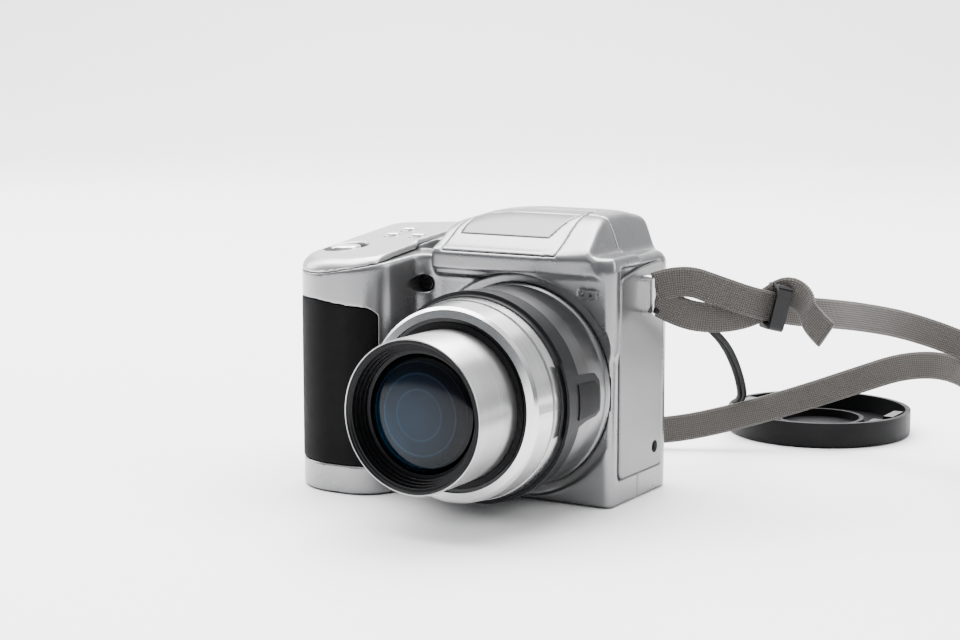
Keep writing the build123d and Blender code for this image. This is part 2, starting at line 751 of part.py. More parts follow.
bail_z = [lug_z - lug_half, lug_z + lug_half]
with BuildPart() as strap_lugs:
    for side_x, out in ((right_x, 1), (left_x, -1)):
        for z in bail_z:
            add(rod((side_x - out * 3.2, lug_y, z), (out, 0, 0), lug_wire_r, 3.2 + lug_reach))
            with BuildPart(mode=Mode.PRIVATE) as knee:
                with Locations((side_x + out * lug_reach, lug_y, z)):
                    Sphere(lug_wire_r)
            add(knee.part)
        add(rod((side_x + out * lug_reach, lug_y, bail_z[0]), (0, 0, 1), lug_wire_r, 2 * lug_half))
keep(strap_lugs, "strap_lugs")

with BuildPart() as power_jack:
    add(rod((panel_x - jack_length, jack_y, jack_z), (1, 0, 0), jack_body_r, jack_length))
    add(rod((panel_x - jack_length + 1, jack_y, jack_z), (1, 0, 0), jack_r, jack_length), mode=Mode.SUBTRACT)
    add(rod((panel_x - jack_length, jack_y, jack_z), (1, 0, 0), 0.5, jack_length - 0.6))
keep(power_jack, "power_jack")

# ---- base ------------------------------------------------------------------------------------------
dock_x = 14.0
dock_y = 12.0
dock_w = 12.0
dock_d = 3.4
with BuildPart() as base_cover:
    with BuildSketch():
        add(body_plan(wall + rubber_thick + seat_gap))
        Circle(socket_outer_r + seat_gap, mode=Mode.SUBTRACT)
        with Locations((dock_x, dock_y)):
            Rectangle(dock_w + 2 * seat_gap, dock_d + 2 * seat_gap, mode=Mode.SUBTRACT)
        with Locations(((door_left_x + door_right_x) / 2, (door_front_y + door_rear_y) / 2)):
            Rectangle(door_right_x - door_left_x, door_rear_y - door_front_y, mode=Mode.SUBTRACT)
    extrude(amount=base_thick)
    # the last one stands in the root of the grip, clear of its wall
    screw_sites = [(22.0, -10.0), (22.0, 14.0), (-30.0, 14.0),
                   (grip_root_x + 1.3 - wall, front_y + 1.2 + wall)]
    for x, y in screw_sites:
        add(rod((x, y, -1), (0, 0, 1), 1.05, 5), mode=Mode.SUBTRACT)
        add(rod((x, y, -1), (0, 0, 1), 1.95, 1.8), mode=Mode.SUBTRACT)
    hinge_x = door_right_x + 1.2
    add(slab(door_right_x - 0.1, hinge_x + 1.2, door_front_y + 2, door_front_y + 8, -1, base_thick + 1),
        mode=Mode.SUBTRACT)
    add(slab(door_right_x - 0.1, hinge_x + 1.2, door_rear_y - 8, door_rear_y - 2, -1, base_thick + 1),
        mode=Mode.SUBTRACT)
    add(rod((hinge_x, door_front_y + 1, 0.8), (0, 1, 0), door_pin_r + seat_gap,
            door_rear_y - door_front_y - 2), mode=Mode.SUBTRACT)
keep(base_cover, "base_cover")

with BuildPart() as tripod_socket:
    with BuildSketch():
        Circle(socket_outer_r)
        Circle(socket_r, mode=Mode.SUBTRACT)
    extrude(amount=socket_length)
keep(tripod_socket, "tripod_socket")

with BuildPart() as dock_socket:
    add(slab(dock_x - dock_w / 2, dock_x + dock_w / 2, dock_y - dock_d / 2, dock_y + dock_d / 2, 0.3, 5.0))
    add(slab(dock_x - dock_w / 2 + 0.8, dock_x + dock_w / 2 - 0.8, dock_y - dock_d / 2 + 0.7,
             dock_y + dock_d / 2 - 0.7, 0, 4.0), mode=Mode.SUBTRACT)
    add(slab(dock_x - dock_w / 2 + 2, dock_x + dock_w / 2 - 2, dock_y - 0.35, dock_y + 0.35, 1.0, 4.4))
keep(dock_socket, "dock_socket")

with BuildPart() as housing_screws:
    for x, y in screw_sites:
        add(rod((x, y, 0.3), (0, 0, 1), 1.0, 4.2))
        add(rod((x, y, 0.1), (0, 0, 1), 1.8, 0.7))
    for x, y in screw_sites:
        add(slab(x - 1.2, x + 1.2, y - 0.25, y + 0.25, -0.5, 0.4), mode=Mode.SUBTRACT)
        add(slab(x - 0.25, x + 0.25, y - 1.2, y + 1.2, -0.5, 0.4), mode=Mode.SUBTRACT)
keep(housing_screws, "housing_screws")

with BuildPart() as battery_door:
    add(slab(door_left_x + gap, door_right_x - door_hinge_gap, door_front_y + gap, door_rear_y - gap,
             0, base_thick))
    for y0 in (door_front_y + 2.2, door_rear_y - 7.8):
        add(slab(door_right_x - 1.0, hinge_x, y0, y0 + 5.6, 0, base_thick))
        add(rod((hinge_x, y0, 0.8), (0, 1, 0), 0.8 + 0.2, 5.6))
    add(rod((hinge_x, door_front_y, 0.8), (0, 1, 0), door_pin_r + 0.05, door_rear_y - door_front_y),
        mode=Mode.SUBTRACT)
    add(slab(left_x, right_x, grip_y, rear_y, -2, 0), mode=Mode.SUBTRACT)
keep(battery_door, "battery_door")

with BuildPart() as hinge_pins:
    add(rod((hinge_x, door_front_y + 1.2, 0.8), (0, 1, 0), door_pin_r, door_rear_y - door_front_y - 2.4))
    add(rod((flash_bore_x, flash_pin_y, flash_pin_z), (1, 0, 0), flash_pin_r,
            flash_right_x + flash_pin_end - flash_bore_x))
keep(hinge_pins, "hinge_pins")

cell_r = 7.0
cell_length = 48.5
cells_at = [(-48.0, -20.5), (-48.0, -4.5)]
with BuildPart() as battery_cells:
    for x, y in cells_at:
        add(rod((x, y, 2.2), (0, 0, 1), cell_r, cell_length))
        add(rod((x, y, 2.2 + cell_length), (0, 0, 1), 2.7, 1.5))
keep(battery_cells, "battery_cells")

# ---- inside ------------------------------------------------------------------------------------------
board_y = 9.6
with BuildPart() as main_board:
    add(slab(-32, 20, board_y, board_y + 1.2, 9, 56))
keep(main_board, "main_board")

with BuildPart() as zoom_motor:
    add(rod((-30.5, -12, 12), (0, 1, 0), 4.2, 16))
    add(rod((-30.5, -14.5, 12), (0, 1, 0), 0.9, 2.5))
keep(zoom_motor, "zoom_motor")


with BuildPart() as lcd_panel:
    add(slab(screen_x - screen_w / 2 + 2, screen_x + screen_w / 2 - 2, board_y + 3, rear_y - screen_thick,
             screen_z - screen_h / 2 + 2, screen_z + screen_h / 2 - 2))
keep(lcd_panel, "lcd_panel")

with BuildPart() as lcd_window:
    add(slab(screen_x - screen_w / 2, screen_x + screen_w / 2, rear_y - screen_thick, rear_y + 0.2,
             screen_z - screen_h / 2, screen_z + screen_h / 2))
    chamfer(lcd_window.faces().sort_by(Axis.Y)[-1].edges(), 0.2)
keep(lcd_window, "lcd_window")

with BuildPart() as evf_display:
    add(slab(finder_x - 5, finder_x + 5, 5.6, 7.2, finder_z - 3, finder_z + 3))
keep(evf_display, "evf_display")

with BuildPart() as evf_lens:
    with BuildSketch(facing_front(rear_y - 4.4)):
        with Locations((finder_x, finder_z)):
            RectangleRounded(12.0, 7.0, 2.0)
    extrude(amount=-2.6)
    fillet(evf_lens.faces().sort_by(Axis.Y)[-1].edges(), 0.8)
keep(evf_lens, "evf_lens")

eyecup_w = 22.0
eyecup_h = 11.4
eyecup_depth = 3.0
with BuildPart() as eyecup:
    with BuildSketch(facing_front(rear_y)):
        with Locations((finder_x, finder_z - 0.6)):
            RectangleRounded(eyecup_w, eyecup_h, 3.0)
            RectangleRounded(finder_w - 1.0, finder_h - 1.0, 2.0, mode=Mode.SUBTRACT)
    extrude(amount=-eyecup_depth)
    fillet(eyecup.faces().sort_by(Axis.Y)[-1].edges(), 0.8)
    add(slab(finder_x - 8, finder_x + 8, rear_y - 1, rear_y, finder_z - 4.2, finder_z + 4.2),
        mode=Mode.SUBTRACT)
keep(eyecup, "eyecup")

# ---- controls ------------------------------------------------------------------------------------------
with BuildPart() as shutter_ring_cut:
    add(rod((shutter_at[0], shutter_at[1], 50), (0, 0, 1), shutter_r + gap, 40))
shutter_top_z = deck_z(*shutter_at)
with BuildPart() as shutter_button:
    add(rod((shutter_at[0], shutter_at[1], shutter_top_z - 3.6), (0, 0, 1), shutter_r, 3.9))
    fillet(shutter_button.faces().sort_by(Axis.Z)[-1].edges(), 0.8)
    add(rod((shutter_at[0], shutter_at[1], shutter_top_z - 5.6), (0, 0, 1), 1.5, 2.4))
keep(shutter_button, "shutter_button")

with BuildPart() as shutter_surround:
    add(rod((shutter_at[0], shutter_at[1], shutter_top_z - 3.0), (0, 0, 1), shutter_ring_r, 2.2))
    add(shutter_ring_cut.part, mode=Mode.SUBTRACT)
keep(shutter_surround, "shutter_surround")

for name, (x, y) in deck_buttons.items():
    with BuildPart() as cap:
        add(rod((x, y, deck_z(x, y) - 2.4), (0, 0, 1), deck_button_r, 3.1))
        fillet(cap.faces().sort_by(Axis.Z)[-1].edges(), 0.5)
    keep(cap, name)

for name, (x, z) in rear_buttons.items():
    with BuildPart() as cap:
        add(rod((x, rear_y - 2.0, z), (0, 1, 0), button_r, 2.0 + button_proud))
        fillet(cap.faces().sort_by(Axis.Y)[-1].edges(), 0.4)
    keep(cap, name)

dial_proud = 1.6
with BuildPart() as mode_dial:
    with BuildSketch(Plane(origin=(dial_at[0], rear_y - 1.6, dial_at[1]), x_dir=(-1, 0, 0), z_dir=(0, 1, 0))):
        Circle(dial_r)
        Circle(dial_hub_r, mode=Mode.SUBTRACT)
        with PolarLocations(dial_r + 0.1, 24):
            Circle(0.35, mode=Mode.SUBTRACT)
    extrude(amount=1.6 + dial_proud)
keep(mode_dial, "mode_dial")

with BuildPart() as joystick:
    with BuildSketch(Plane(origin=(dial_at[0], rear_y - 1.0, dial_at[1]), x_dir=(-1, 0, 0), z_dir=(0, 1, 0))):
        Circle(stick_r)
    extrude(amount=1.0 + dial_proud + 0.9)
    fillet(joystick.faces().sort_by(Axis.Y)[-1].edges(), 0.8)
keep(joystick, "joystick")

with BuildPart() as zoom_rocker:
    with BuildSketch(Plane(origin=(rocker_at[0], rear_y - 1.6, rocker_at[1]), x_dir=(-1, 0, 0),
                           z_dir=(0, 1, 0))):
        RectangleRounded(rocker_w, rocker_h, 2.4)
    extrude(amount=1.6 + 1.2)
    fillet(zoom_rocker.faces().sort_by(Axis.Y)[-1].edges(), 0.6)
keep(zoom_rocker, "zoom_rocker")

# ---- lens cap -------------------------------------------------------------------------------------------
with BuildPart() as lens_cap:
    with BuildSketch():
        with Locations((cap_x, cap_y)):
            Circle(cap_r)
    extrude(amount=cap_height)
    fillet(lens_cap.faces().sort_by(Axis.Z)[0].edges(), 0.8)
    with BuildSketch(Plane.XY.offset(cap_floor)):
        with Locations((cap_x, cap_y)):
            Circle(cap_r - cap_rim)
    extrude(amount=cap_height, mode=Mode.SUBTRACT)
    with BuildSketch(Plane.XY.offset(cap_floor)):
        with Locations((cap_x, cap_y)):
            Circle(14.0)
            Circle(12.6, mode=Mode.SUBTRACT)
    extrude(amount=2.4)
    with BuildSketch(Plane.XY.offset(cap_floor)):
        with Locations((post_x, post_y), (post_x + 1.6, post_y - 3.4)):
            Circle(1.3)
    extrude(amount=cap_height - cap_floor)
keep(lens_cap, "lens_cap")

for name, out in (("cap_latch_left", -1), ("cap_latch_right", 1)):
    with BuildPart() as latch:
        tip = cap_x + out * (cap_r - cap_rim - 0.9)
        root = cap_x + out * 16.2
        add(slab(min(tip, root), max(tip, root), cap_y - 5, cap_y + 5, cap_floor + gap, cap_floor + 2.4))
        add(slab(min(tip, tip - out * 3), max(tip, tip - out * 3), cap_y - 5, cap_y + 5,
                 cap_floor + 1, cap_height))
    keep(latch, name)

# ---- cords ----------------------------------------------------------------------------------------------
# Each route is a list of points. Its tube runs straight between them, with an arc at each corner.
bar_right = right_x + lug_reach
bar_left = left_x - lug_reach
strap_out_route = [
    (bar_right + 0.5, lug_y, 57.4), (38.5, 3.0, 60.0), (46.5, 8.5, 56.5), (54.0, 14.0, 53.2), (62.0, 22.0, 50.5),
    (68.0, 36.0, 48.5), (70.5, 54.0, 45.5), (76.0, 73.0, 41.5), (88.0, 86.0, 35.5), (105.0, 93.0, 27.0),
    (124.0, 94.0, 18.5), (141.0, 87.5, 13.0), (153.0, 77.0, 11.0), (163.0, 65.0, 8.4),
]
strap_back_route = [
    (116.9, 21.9, 4.3), (114.6, 38.0, 4.6), (113.0, 54.0, 8.0), (108.5, 68.0, 14.5), (99.5, 80.0, 22.5),
    (87.0, 88.0, 28.0), (72.0, 90.0, 27.0), (56.0, 89.5, 20.5), (41.0, 84.0, 14.6), (26.0, 74.0, 9.6),
    (9.0, 62.0, 5.4), (-10.0, 55.0, 4.4), (-32.0, 51.0, 4.6), (-53.0, 45.0, 9.0), (-68.0, 35.0, 20.0),
    (-76.0, 22.0, 34.0), (-77.5, 10.0, 46.0), (-73.0, 2.5, 53.5), (bar_left - 0.5, lug_y, 57.0),
]
strap_tail_route = [
    (bar_right + 0.5, lug_y, 54.2), (37.5, 3.2, 50.6), (44.0, 8.5, 48.8), (51.5, 14.0, 49.6), (57.0, 19.0, 53.0),
    (61.5, 20.5, 56.6), (66.5, 20.0, 54.0), (69.0, 18.0, 49.0), (74.0, 17.0, 45.5),
]
tether_route = [
    (bar_right, lug_y - 0.6, 51.3), (33.8, 5.0, 50.0), (36.0, 12.0, 48.4), (38.0, 20.0, 45.4), (37.5, 34.0, 38.5),
    (34.0, 50.0, 30.0), (28.5, 68.0, 20.5), (21.5, 86.0, 12.5), (post_x + 0.8, post_y - 3.0, 8.8),
]


def bent_tube(route, radius):
    """A round tube along a route, with the largest arcs that its runs allow."""
    points = [Vector(*point) for point in route]
    radii = []
    for before, here, after in zip(points, points[1:], points[2:]):
        arriving = here - before
        leaving = after - here
        half_turn = math.radians(arriving.get_angle(leaving)) / 2
        radii.append(0.45 * min(arriving.length, leaving.length) / math.tan(half_turn))
    with BuildPart(mode=Mode.PRIVATE) as tube:
        with BuildLine() as path:
            FilletPolyline(*route, radius=radii)
        line = path.wires()[0]
        with BuildSketch(Plane(origin=line @ 0, z_dir=line % 0)):
            Circle(radius)
        sweep(path=line, transition=Transition.ROUND)
    share = tube.part.volume / (math.pi * radius ** 2 * line.length)
    print(f"cord length {line.length:.1f} volume share {share:.4f} radii", [round(value, 1) for value in radii])
    return tube.part


for name, route, radius in (
    ("strap_out", strap_out_route, strap_tube_r),
    ("strap_back", strap_back_route, strap_tube_r),
    ("strap_tail", strap_tail_route, strap_tube_r),
    ("lens_tether", tether_route, tether_tube_r),
):
    with BuildPart() as cord:
        add(bent_tube(route, radius))
    keep(cord, name)

# the strap's spare length, wound on the surface that the camera stands on
with BuildPart() as strap_coil:
    with BuildSketch(Plane.XY.offset(coil_low_z)):
        with Locations((coil_x, coil_y)):
            Circle(coil_out_r)
            Circle(coil_in_r, mode=Mode.SUBTRACT)
    extrude(amount=strap_width)
keep(strap_coil, "strap_coil")

buckle_sites = [((58.9, 18.6, 51.8), (8.0, 8.0, -2.7)), ((-76.9, 15.4, 40.2), (-1.2, -12.0, 12.4))]
with BuildPart() as strap_buckles:
    for spot, heading in buckle_sites:
        sideways = Vector(*heading).cross(Vector(0, 0, 1))
        with BuildPart(mode=Mode.PRIVATE) as slider:
            with BuildSketch(Plane(origin=spot, x_dir=sideways, z_dir=heading)):
                RectangleRounded(buckle_deep, strap_width + 4.4, buckle_round)
                RectangleRounded(buckle_deep - 2.4, strap_width + 2.0, buckle_round / 2, mode=Mode.SUBTRACT)
            extrude(amount=buckle_long / 2, both=True)
        add(slider.part)
keep(strap_buckles, "strap_buckles")
print("pieces", len(made))
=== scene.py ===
import functools
import json
import math

import bpy
import numpy
from mathutils import Matrix, Vector


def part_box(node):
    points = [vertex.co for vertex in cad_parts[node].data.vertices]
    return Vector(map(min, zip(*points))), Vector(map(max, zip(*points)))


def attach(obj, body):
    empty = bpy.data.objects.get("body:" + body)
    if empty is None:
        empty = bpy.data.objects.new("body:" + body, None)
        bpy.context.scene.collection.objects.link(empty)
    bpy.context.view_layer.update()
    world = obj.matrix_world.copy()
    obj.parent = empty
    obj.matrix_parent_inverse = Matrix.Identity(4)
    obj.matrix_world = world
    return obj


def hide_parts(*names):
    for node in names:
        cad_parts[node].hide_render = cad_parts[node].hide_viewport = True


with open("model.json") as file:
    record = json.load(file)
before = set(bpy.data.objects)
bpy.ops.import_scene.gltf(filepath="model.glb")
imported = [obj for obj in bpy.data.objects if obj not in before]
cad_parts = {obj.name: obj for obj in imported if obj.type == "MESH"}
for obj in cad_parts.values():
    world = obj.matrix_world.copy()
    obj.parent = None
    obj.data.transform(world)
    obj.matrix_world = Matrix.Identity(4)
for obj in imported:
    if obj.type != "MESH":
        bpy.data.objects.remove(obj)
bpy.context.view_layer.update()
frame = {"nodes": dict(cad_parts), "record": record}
MM = 0.001
LENS_Z = 30.9             # height of the lens axis, in millimetres


def mm(points):
    """Points in millimetres as vectors in metres."""
    return [Vector(point) * MM for point in points]


# ---- camera -------------------------------------------------------------------------------------
AZIMUTH = math.radians(30.4)
ELEVATION = math.radians(8.3)
CAMERA_PLACE = Vector((0.2586, -0.4780, 0.1255))

camera_data = bpy.data.cameras.new("camera")
camera_data.lens = 75.0
camera_data.sensor_width = 36.0
camera = bpy.data.objects.new("camera", camera_data)
bpy.context.scene.collection.objects.link(camera)
bpy.context.scene.camera = camera
back = Vector((math.sin(AZIMUTH) * math.cos(ELEVATION), -math.cos(AZIMUTH) * math.cos(ELEVATION),
               math.sin(ELEVATION)))
right = Vector((math.cos(AZIMUTH), math.sin(AZIMUTH), 0.0))
up = back.cross(right)
camera.matrix_world = Matrix.Translation(CAMERA_PLACE) @ Matrix((right, up, back)).transposed().to_4x4()
bpy.context.scene.view_settings.look = "AgX - Medium High Contrast"


# ---- materials ----------------------------------------------------------------------------------
def material(name, color, roughness, metallic=0.0, **sockets):
    """A Principled material; returns it, for the detail nodes to build on."""
    made = bpy.data.materials.new(name)
    made.use_nodes = True
    shader = made.node_tree.nodes["Principled BSDF"]
    shader.inputs["Base Color"].default_value = (*color, 1.0)
    shader.inputs["Roughness"].default_value = roughness
    shader.inputs["Metallic"].default_value = metallic
    for socket, value in sockets.items():
        shader.inputs[socket.replace("_", " ")].default_value = value
    return made


def coordinates(tree, scale=(1.0, 1.0, 1.0)):
    """Object coordinates, stretched."""
    source = tree.nodes.new("ShaderNodeTexCoord")
    mapping = tree.nodes.new("ShaderNodeMapping")
    mapping.inputs["Scale"].default_value = scale
    tree.links.new(source.outputs["Object"], mapping.inputs["Vector"])
    return mapping.outputs["Vector"]


def noise(tree, scale, detail=4.0, stretch=(1.0, 1.0, 1.0)):
    """A noise texture's value."""
    texture = tree.nodes.new("ShaderNodeTexNoise")
    texture.inputs["Scale"].default_value = scale
    texture.inputs["Detail"].default_value = detail
    tree.links.new(coordinates(tree, stretch), texture.inputs["Vector"])
    return texture.outputs["Fac"]


def ramp(tree, value, low, high, start=0.3, end=0.7):
    """A value spread between two colours."""
    node = tree.nodes.new("ShaderNodeValToRGB")
    node.color_ramp.elements[0].position = start
    node.color_ramp.elements[1].position = end
    node.color_ramp.elements[0].color = (*low, 1.0)
    node.color_ramp.elements[1].color = (*high, 1.0)
    tree.links.new(value, node.inputs["Fac"])
    return node.outputs["Color"]


def spread(tree, value, low, high):
    """A value spread between two numbers."""
    node = tree.nodes.new("ShaderNodeMapRange")
    node.inputs["To Min"].default_value = low
    node.inputs["To Max"].default_value = high
    tree.links.new(value, node.inputs["Value"])
    return node.outputs["Result"]


def bump(made, value, strength, distance):
    """Bump from a value on a material's shader."""
    tree = made.node_tree
    node = tree.nodes.new("ShaderNodeBump")
    node.inputs["Strength"].default_value = strength
    node.inputs["Distance"].default_value = distance
    tree.links.new(value, node.inputs["Height"])
    tree.links.new(node.outputs["Normal"], tree.nodes["Principled BSDF"].inputs["Normal"])


def link(made, output, socket):
    """Feeds a shader socket."""
    made.node_tree.links.new(output, made.node_tree.nodes["Principled BSDF"].inputs[socket])


def silver(name, color, roughness, grain=1.0):
    """Satin silver paint: fine metal flakes, a slight cloudiness and faint handling marks."""
    made = material(name, color, roughness, metallic=0.85)
    tree = made.node_tree
    low = [channel * 0.94 for channel in color]
    high = [min(channel * 1.05, 1.0) for channel in color]
    link(made, ramp(tree, noise(tree, 9000.0, 2.0), low, high), "Base Color")
    link(made, spread(tree, noise(tree, 45.0, 6.0), roughness - 0.05, roughness + 0.06), "Roughness")
    bump(made, noise(tree, 5200.0, 2.0), 0.05 * grain, 0.0002)
    return made


def turned(name, color, roughness):
    """Turned aluminium: fine rings round the lens axis."""
    made = material(name, color, roughness, metallic=0.95)
    tree = made.node_tree
    fine = noise(tree, 900.0, 3.0, (0.02, 1.0, 0.02))
    link(made, ramp(tree, fine, [channel * 0.9 for channel in color], color), "Base Color")
    link(made, spread(tree, noise(tree, 60.0, 5.0), roughness - 0.04, roughness + 0.06), "Roughness")
    bump(made, fine, 0.06, 0.0002)
    return made


def plastic(name, color, roughness, grain=2600.0, strength=0.12, shine=0.25):
    """Moulded plastic with a fine etched grain."""
    made = material(name, color, roughness, Specular_IOR_Level=shine)
    tree = made.node_tree
    low = [channel * 0.85 for channel in color]
    high = [channel * 1.2 for channel in color]
    link(made, ramp(tree, noise(tree, 70.0, 5.0), low, high), "Base Color")
    link(made, spread(tree, noise(tree, 150.0, 5.0), roughness - 0.05, roughness + 0.08), "Roughness")
    bump(made, noise(tree, grain, 3.0), strength, 0.0003)
    return made


def woven(name, warm, dark, pitch, sheen=0.3):
    """Narrow webbing: a fine grid of raised yarns."""
    made = material(name, warm, 0.85)
    tree = made.node_tree
    source = tree.nodes.new("ShaderNodeUVMap")
    shapes = []
    for direction in ("X", "Y"):
        wave = tree.nodes.new("ShaderNodeTexWave")
        wave.bands_direction = direction
        wave.inputs["Scale"].default_value = pitch
        wave.inputs["Distortion"].default_value = 0.4
        tree.links.new(source.outputs["UV"], wave.inputs["Vector"])
        shapes.append(wave.outputs["Fac"])
    both = tree.nodes.new("ShaderNodeMath")
    both.operation = "MULTIPLY"
    tree.links.new(shapes[0], both.inputs[0])
    tree.links.new(shapes[1], both.inputs[1])
    link(made, ramp(tree, both.outputs[0], dark, warm, 0.05, 0.5), "Base Color")
    bump(made, both.outputs[0], 0.6, 0.0003)
    tree.nodes["Principled BSDF"].inputs["Sheen Weight"].default_value = sheen
    return made


# painted highlights and shade on the front element: bright rings for the edges of the elements behind the
# front glass, darker towards the rim; share of its radius, brightness
PAINTED_ELEMENT_RINGS = [(0.0, 0.75), (1.0, 0.05), (0.40, 0.6), (0.42, 1.0), (0.45, 0.5), (0.66, 0.4), (0.68, 0.9),
                 (0.71, 0.25), (0.86, 0.15), (0.875, 0.5), (0.90, 0.08)]
LENS_REACH = 15.2         # radius of the front glass, in millimetres


def painted_lens_face(name, reflection_tints, tilt, start):
    """A lens face with painted reflections: the tint the lens reflects turns through several colours across
    it, and rings of painted highlight and shade stand in for the inner elements.
    """
    made = material(name, reflection_tints[0], 0.1, Specular_IOR_Level=0.3)
    tree = made.node_tree
    source = tree.nodes.new("ShaderNodeTexCoord")
    turn = tree.nodes.new("ShaderNodeVectorMath")
    turn.operation = "DOT_PRODUCT"
    turn.inputs[1].default_value = tilt
    tree.links.new(source.outputs["Object"], turn.inputs[0])
    wobble = tree.nodes.new("ShaderNodeMath")
    wobble.operation = "MULTIPLY_ADD"
    wobble.inputs[1].default_value = 0.12
    tree.links.new(noise(tree, 40.0, 1.0), wobble.inputs[0])
    tree.links.new(turn.outputs["Value"], wobble.inputs[2])
    # painted reflection: the tint the lens reflects turns across its face in one fixed direction, with a
    # slight wobble
    colours = tree.nodes.new("ShaderNodeValToRGB")
    stops = colours.color_ramp.elements
    for place, tint in enumerate(reflection_tints):
        stop = stops[place] if place < 2 else stops.new(0.5)
        stop.position = start + place * (1 - start) / (len(reflection_tints) - 1)
        stop.color = (*tint, 1.0)
    tree.links.new(wobble.outputs[0], colours.inputs["Fac"])
    across = tree.nodes.new("ShaderNodeVectorMath")
    across.operation = "MULTIPLY_ADD"
    across.inputs[1].default_value = (1.0, 0.0, 1.0)
    across.inputs[2].default_value = (0.0, 0.0, -LENS_Z * MM)
    tree.links.new(source.outputs["Object"], across.inputs[0])
    reach = tree.nodes.new("ShaderNodeVectorMath")
    reach.operation = "LENGTH"
    tree.links.new(across.outputs["Vector"], reach.inputs[0])
    share = spread(tree, reach.outputs["Value"], 0.0, 1.0)
    share.node.inputs["From Max"].default_value = LENS_REACH * MM
    # painted highlights and shade: these rings multiply the reflected tint
    rings = tree.nodes.new("ShaderNodeValToRGB")
    for place, (position, level) in enumerate(PAINTED_ELEMENT_RINGS):
        stop = rings.color_ramp.elements[place] if place < 2 else rings.color_ramp.elements.new(position)
        stop.position = position
        stop.color = (level, level, level, 1.0)
    tree.links.new(share, rings.inputs["Fac"])
    shaded = tree.nodes.new("ShaderNodeMix")
    shaded.data_type = "RGBA"
    shaded.blend_type = "MULTIPLY"
    shaded.inputs["Factor"].default_value = 1.0
    tree.links.new(colours.outputs["Color"], shaded.inputs["A"])
    tree.links.new(rings.outputs["Color"], shaded.inputs["B"])
    link(made, shaded.outputs["Result"], "Base Color")
    return made


SILVER = silver("silver_shell", (0.30, 0.30, 0.305), 0.27)
DECK = silver("deck_silver", (0.50, 0.50, 0.50), 0.34)
PANEL = silver("side_silver", (0.25, 0.25, 0.255), 0.34)
FLASH = silver("flash_grey", (0.20, 0.20, 0.205), 0.36)
BARREL = turned("barrel_silver", (0.52, 0.52, 0.52), 0.28)
SHROUD = turned("shroud_silver", (0.28, 0.28, 0.285), 0.28)
BRIGHT = turned("bright_ring", (0.74, 0.74, 0.74), 0.2)
CHROME = silver("button_chrome", (0.80, 0.80, 0.80), 0.14, 0.2)
STEEL = silver("steel", (0.62, 0.62, 0.62), 0.28, 0.5)
BRASS = turned("brass", (0.72, 0.56, 0.28), 0.3)
CHARCOAL = plastic("charcoal_ring", (0.022, 0.022, 0.024), 0.4)
RUBBER = plastic("grip_rubber", (0.0055, 0.0055, 0.006), 0.62, 3200.0, 0.3, 0.16)
DARK = plastic("dark_plastic", (0.008, 0.008, 0.009), 0.48)
BLACK = plastic("gloss_dark", (0.006, 0.006, 0.007), 0.18, 900.0, 0.02, 0.45)
CAP = plastic("cap_plastic", (0.008, 0.008, 0.009), 0.4)
BOARD = plastic("board", (0.02, 0.12, 0.05), 0.5)
CELLS = plastic("cell_wrap", (0.10, 0.14, 0.22), 0.3)
DIFFUSER = material("clear_diffuser", (0.86, 0.88, 0.9), 0.25, Transmission_Weight=0.7, IOR=1.5)
SCREEN = material("rear_screen", (0.012, 0.014, 0.018), 0.08, Coat_Weight=1.0)
GLASS = material("lens_glass", (0.006, 0.009, 0.014), 0.03, Alpha=0.25, Specular_IOR_Level=0.6)
# painted reflection colours of the lens face, in order across it
LENS_REFLECTION_TINTS = [(0.03, 0.11, 0.20), (0.012, 0.035, 0.065), (0.11, 0.04, 0.04), (0.02, 0.016, 0.02)]
LENS_REFLECTION_PAINT = painted_lens_face("lens_reflection_paint", LENS_REFLECTION_TINTS, (20.0, 0.0, 14.0), 0.0)
STEPPED = plastic("stepped_black", (0.007, 0.007, 0.008), 0.3, 900.0, 0.03)
WEBBING = woven("webbing", (0.13, 0.12, 0.11), (0.07, 0.065, 0.06), 520.0)
CORD = plastic("black_cord", (0.012, 0.012, 0.013), 0.7, 2500.0, 0.5)

SLOT_MATERIALS = {
    "silver_shell": SILVER, "deck_silver": DECK, "lens_silver": BARREL, "bright_ring": BRIGHT,
    "chrome_button": CHROME, "charcoal_ring": CHARCOAL, "grip_rubber": RUBBER, "flash_plate": FLASH,
    "dark_plastic": DARK, "gloss_dark": BLACK, "cap_plastic": CAP, "clear_diffuser": DIFFUSER,
    "lens_glass": GLASS, "rear_screen": SCREEN, "steel": STEEL, "brass": BRASS, "webbing": WEBBING,
    "black_cord": CORD, "board": BOARD, "cell_wrap": CELLS,
}
# nodes whose finish differs from the rest of their slot
NODE_FINISHES = {"side_panel": PANEL, "lens_shroud": SHROUD, "filter_ring": STEPPED, "mic_cap": SILVER}
slot_of = {row["node"]: row["material_slot"] for row in frame["record"]["subparts"]}
for node, piece in frame["nodes"].items():
    finish = NODE_FINISHES.get(node, SLOT_MATERIALS[slot_of[node]])
    for place in range(len(piece.material_slots)):
        piece.material_slots[place].material = finish
    if not piece.material_slots:
        piece.data.materials.append(finish)


# ---- cords --------------------------------------------------------------------------------------
def route_points(name, points):
    """Points along the smooth line that a route's points control."""
    curve = bpy.data.curves.new(name, "CURVE")
    curve.dimensions = "3D"
    spline = curve.splines.new("NURBS")
    spline.points.add(len(points) - 1)
    for place, point in enumerate(points):
        spline.points[place].co = (*point, 1.0)
    spline.order_u = 3
    spline.use_endpoint_u = True
    spline.resolution_u = 10
    holder = bpy.data.objects.new(name, curve)
    mesh = bpy.data.meshes.new_from_object(holder)
    line = [vertex.co.copy() for vertex in mesh.vertices]
    bpy.data.objects.remove(holder)
    bpy.data.meshes.remove(mesh)
    return line


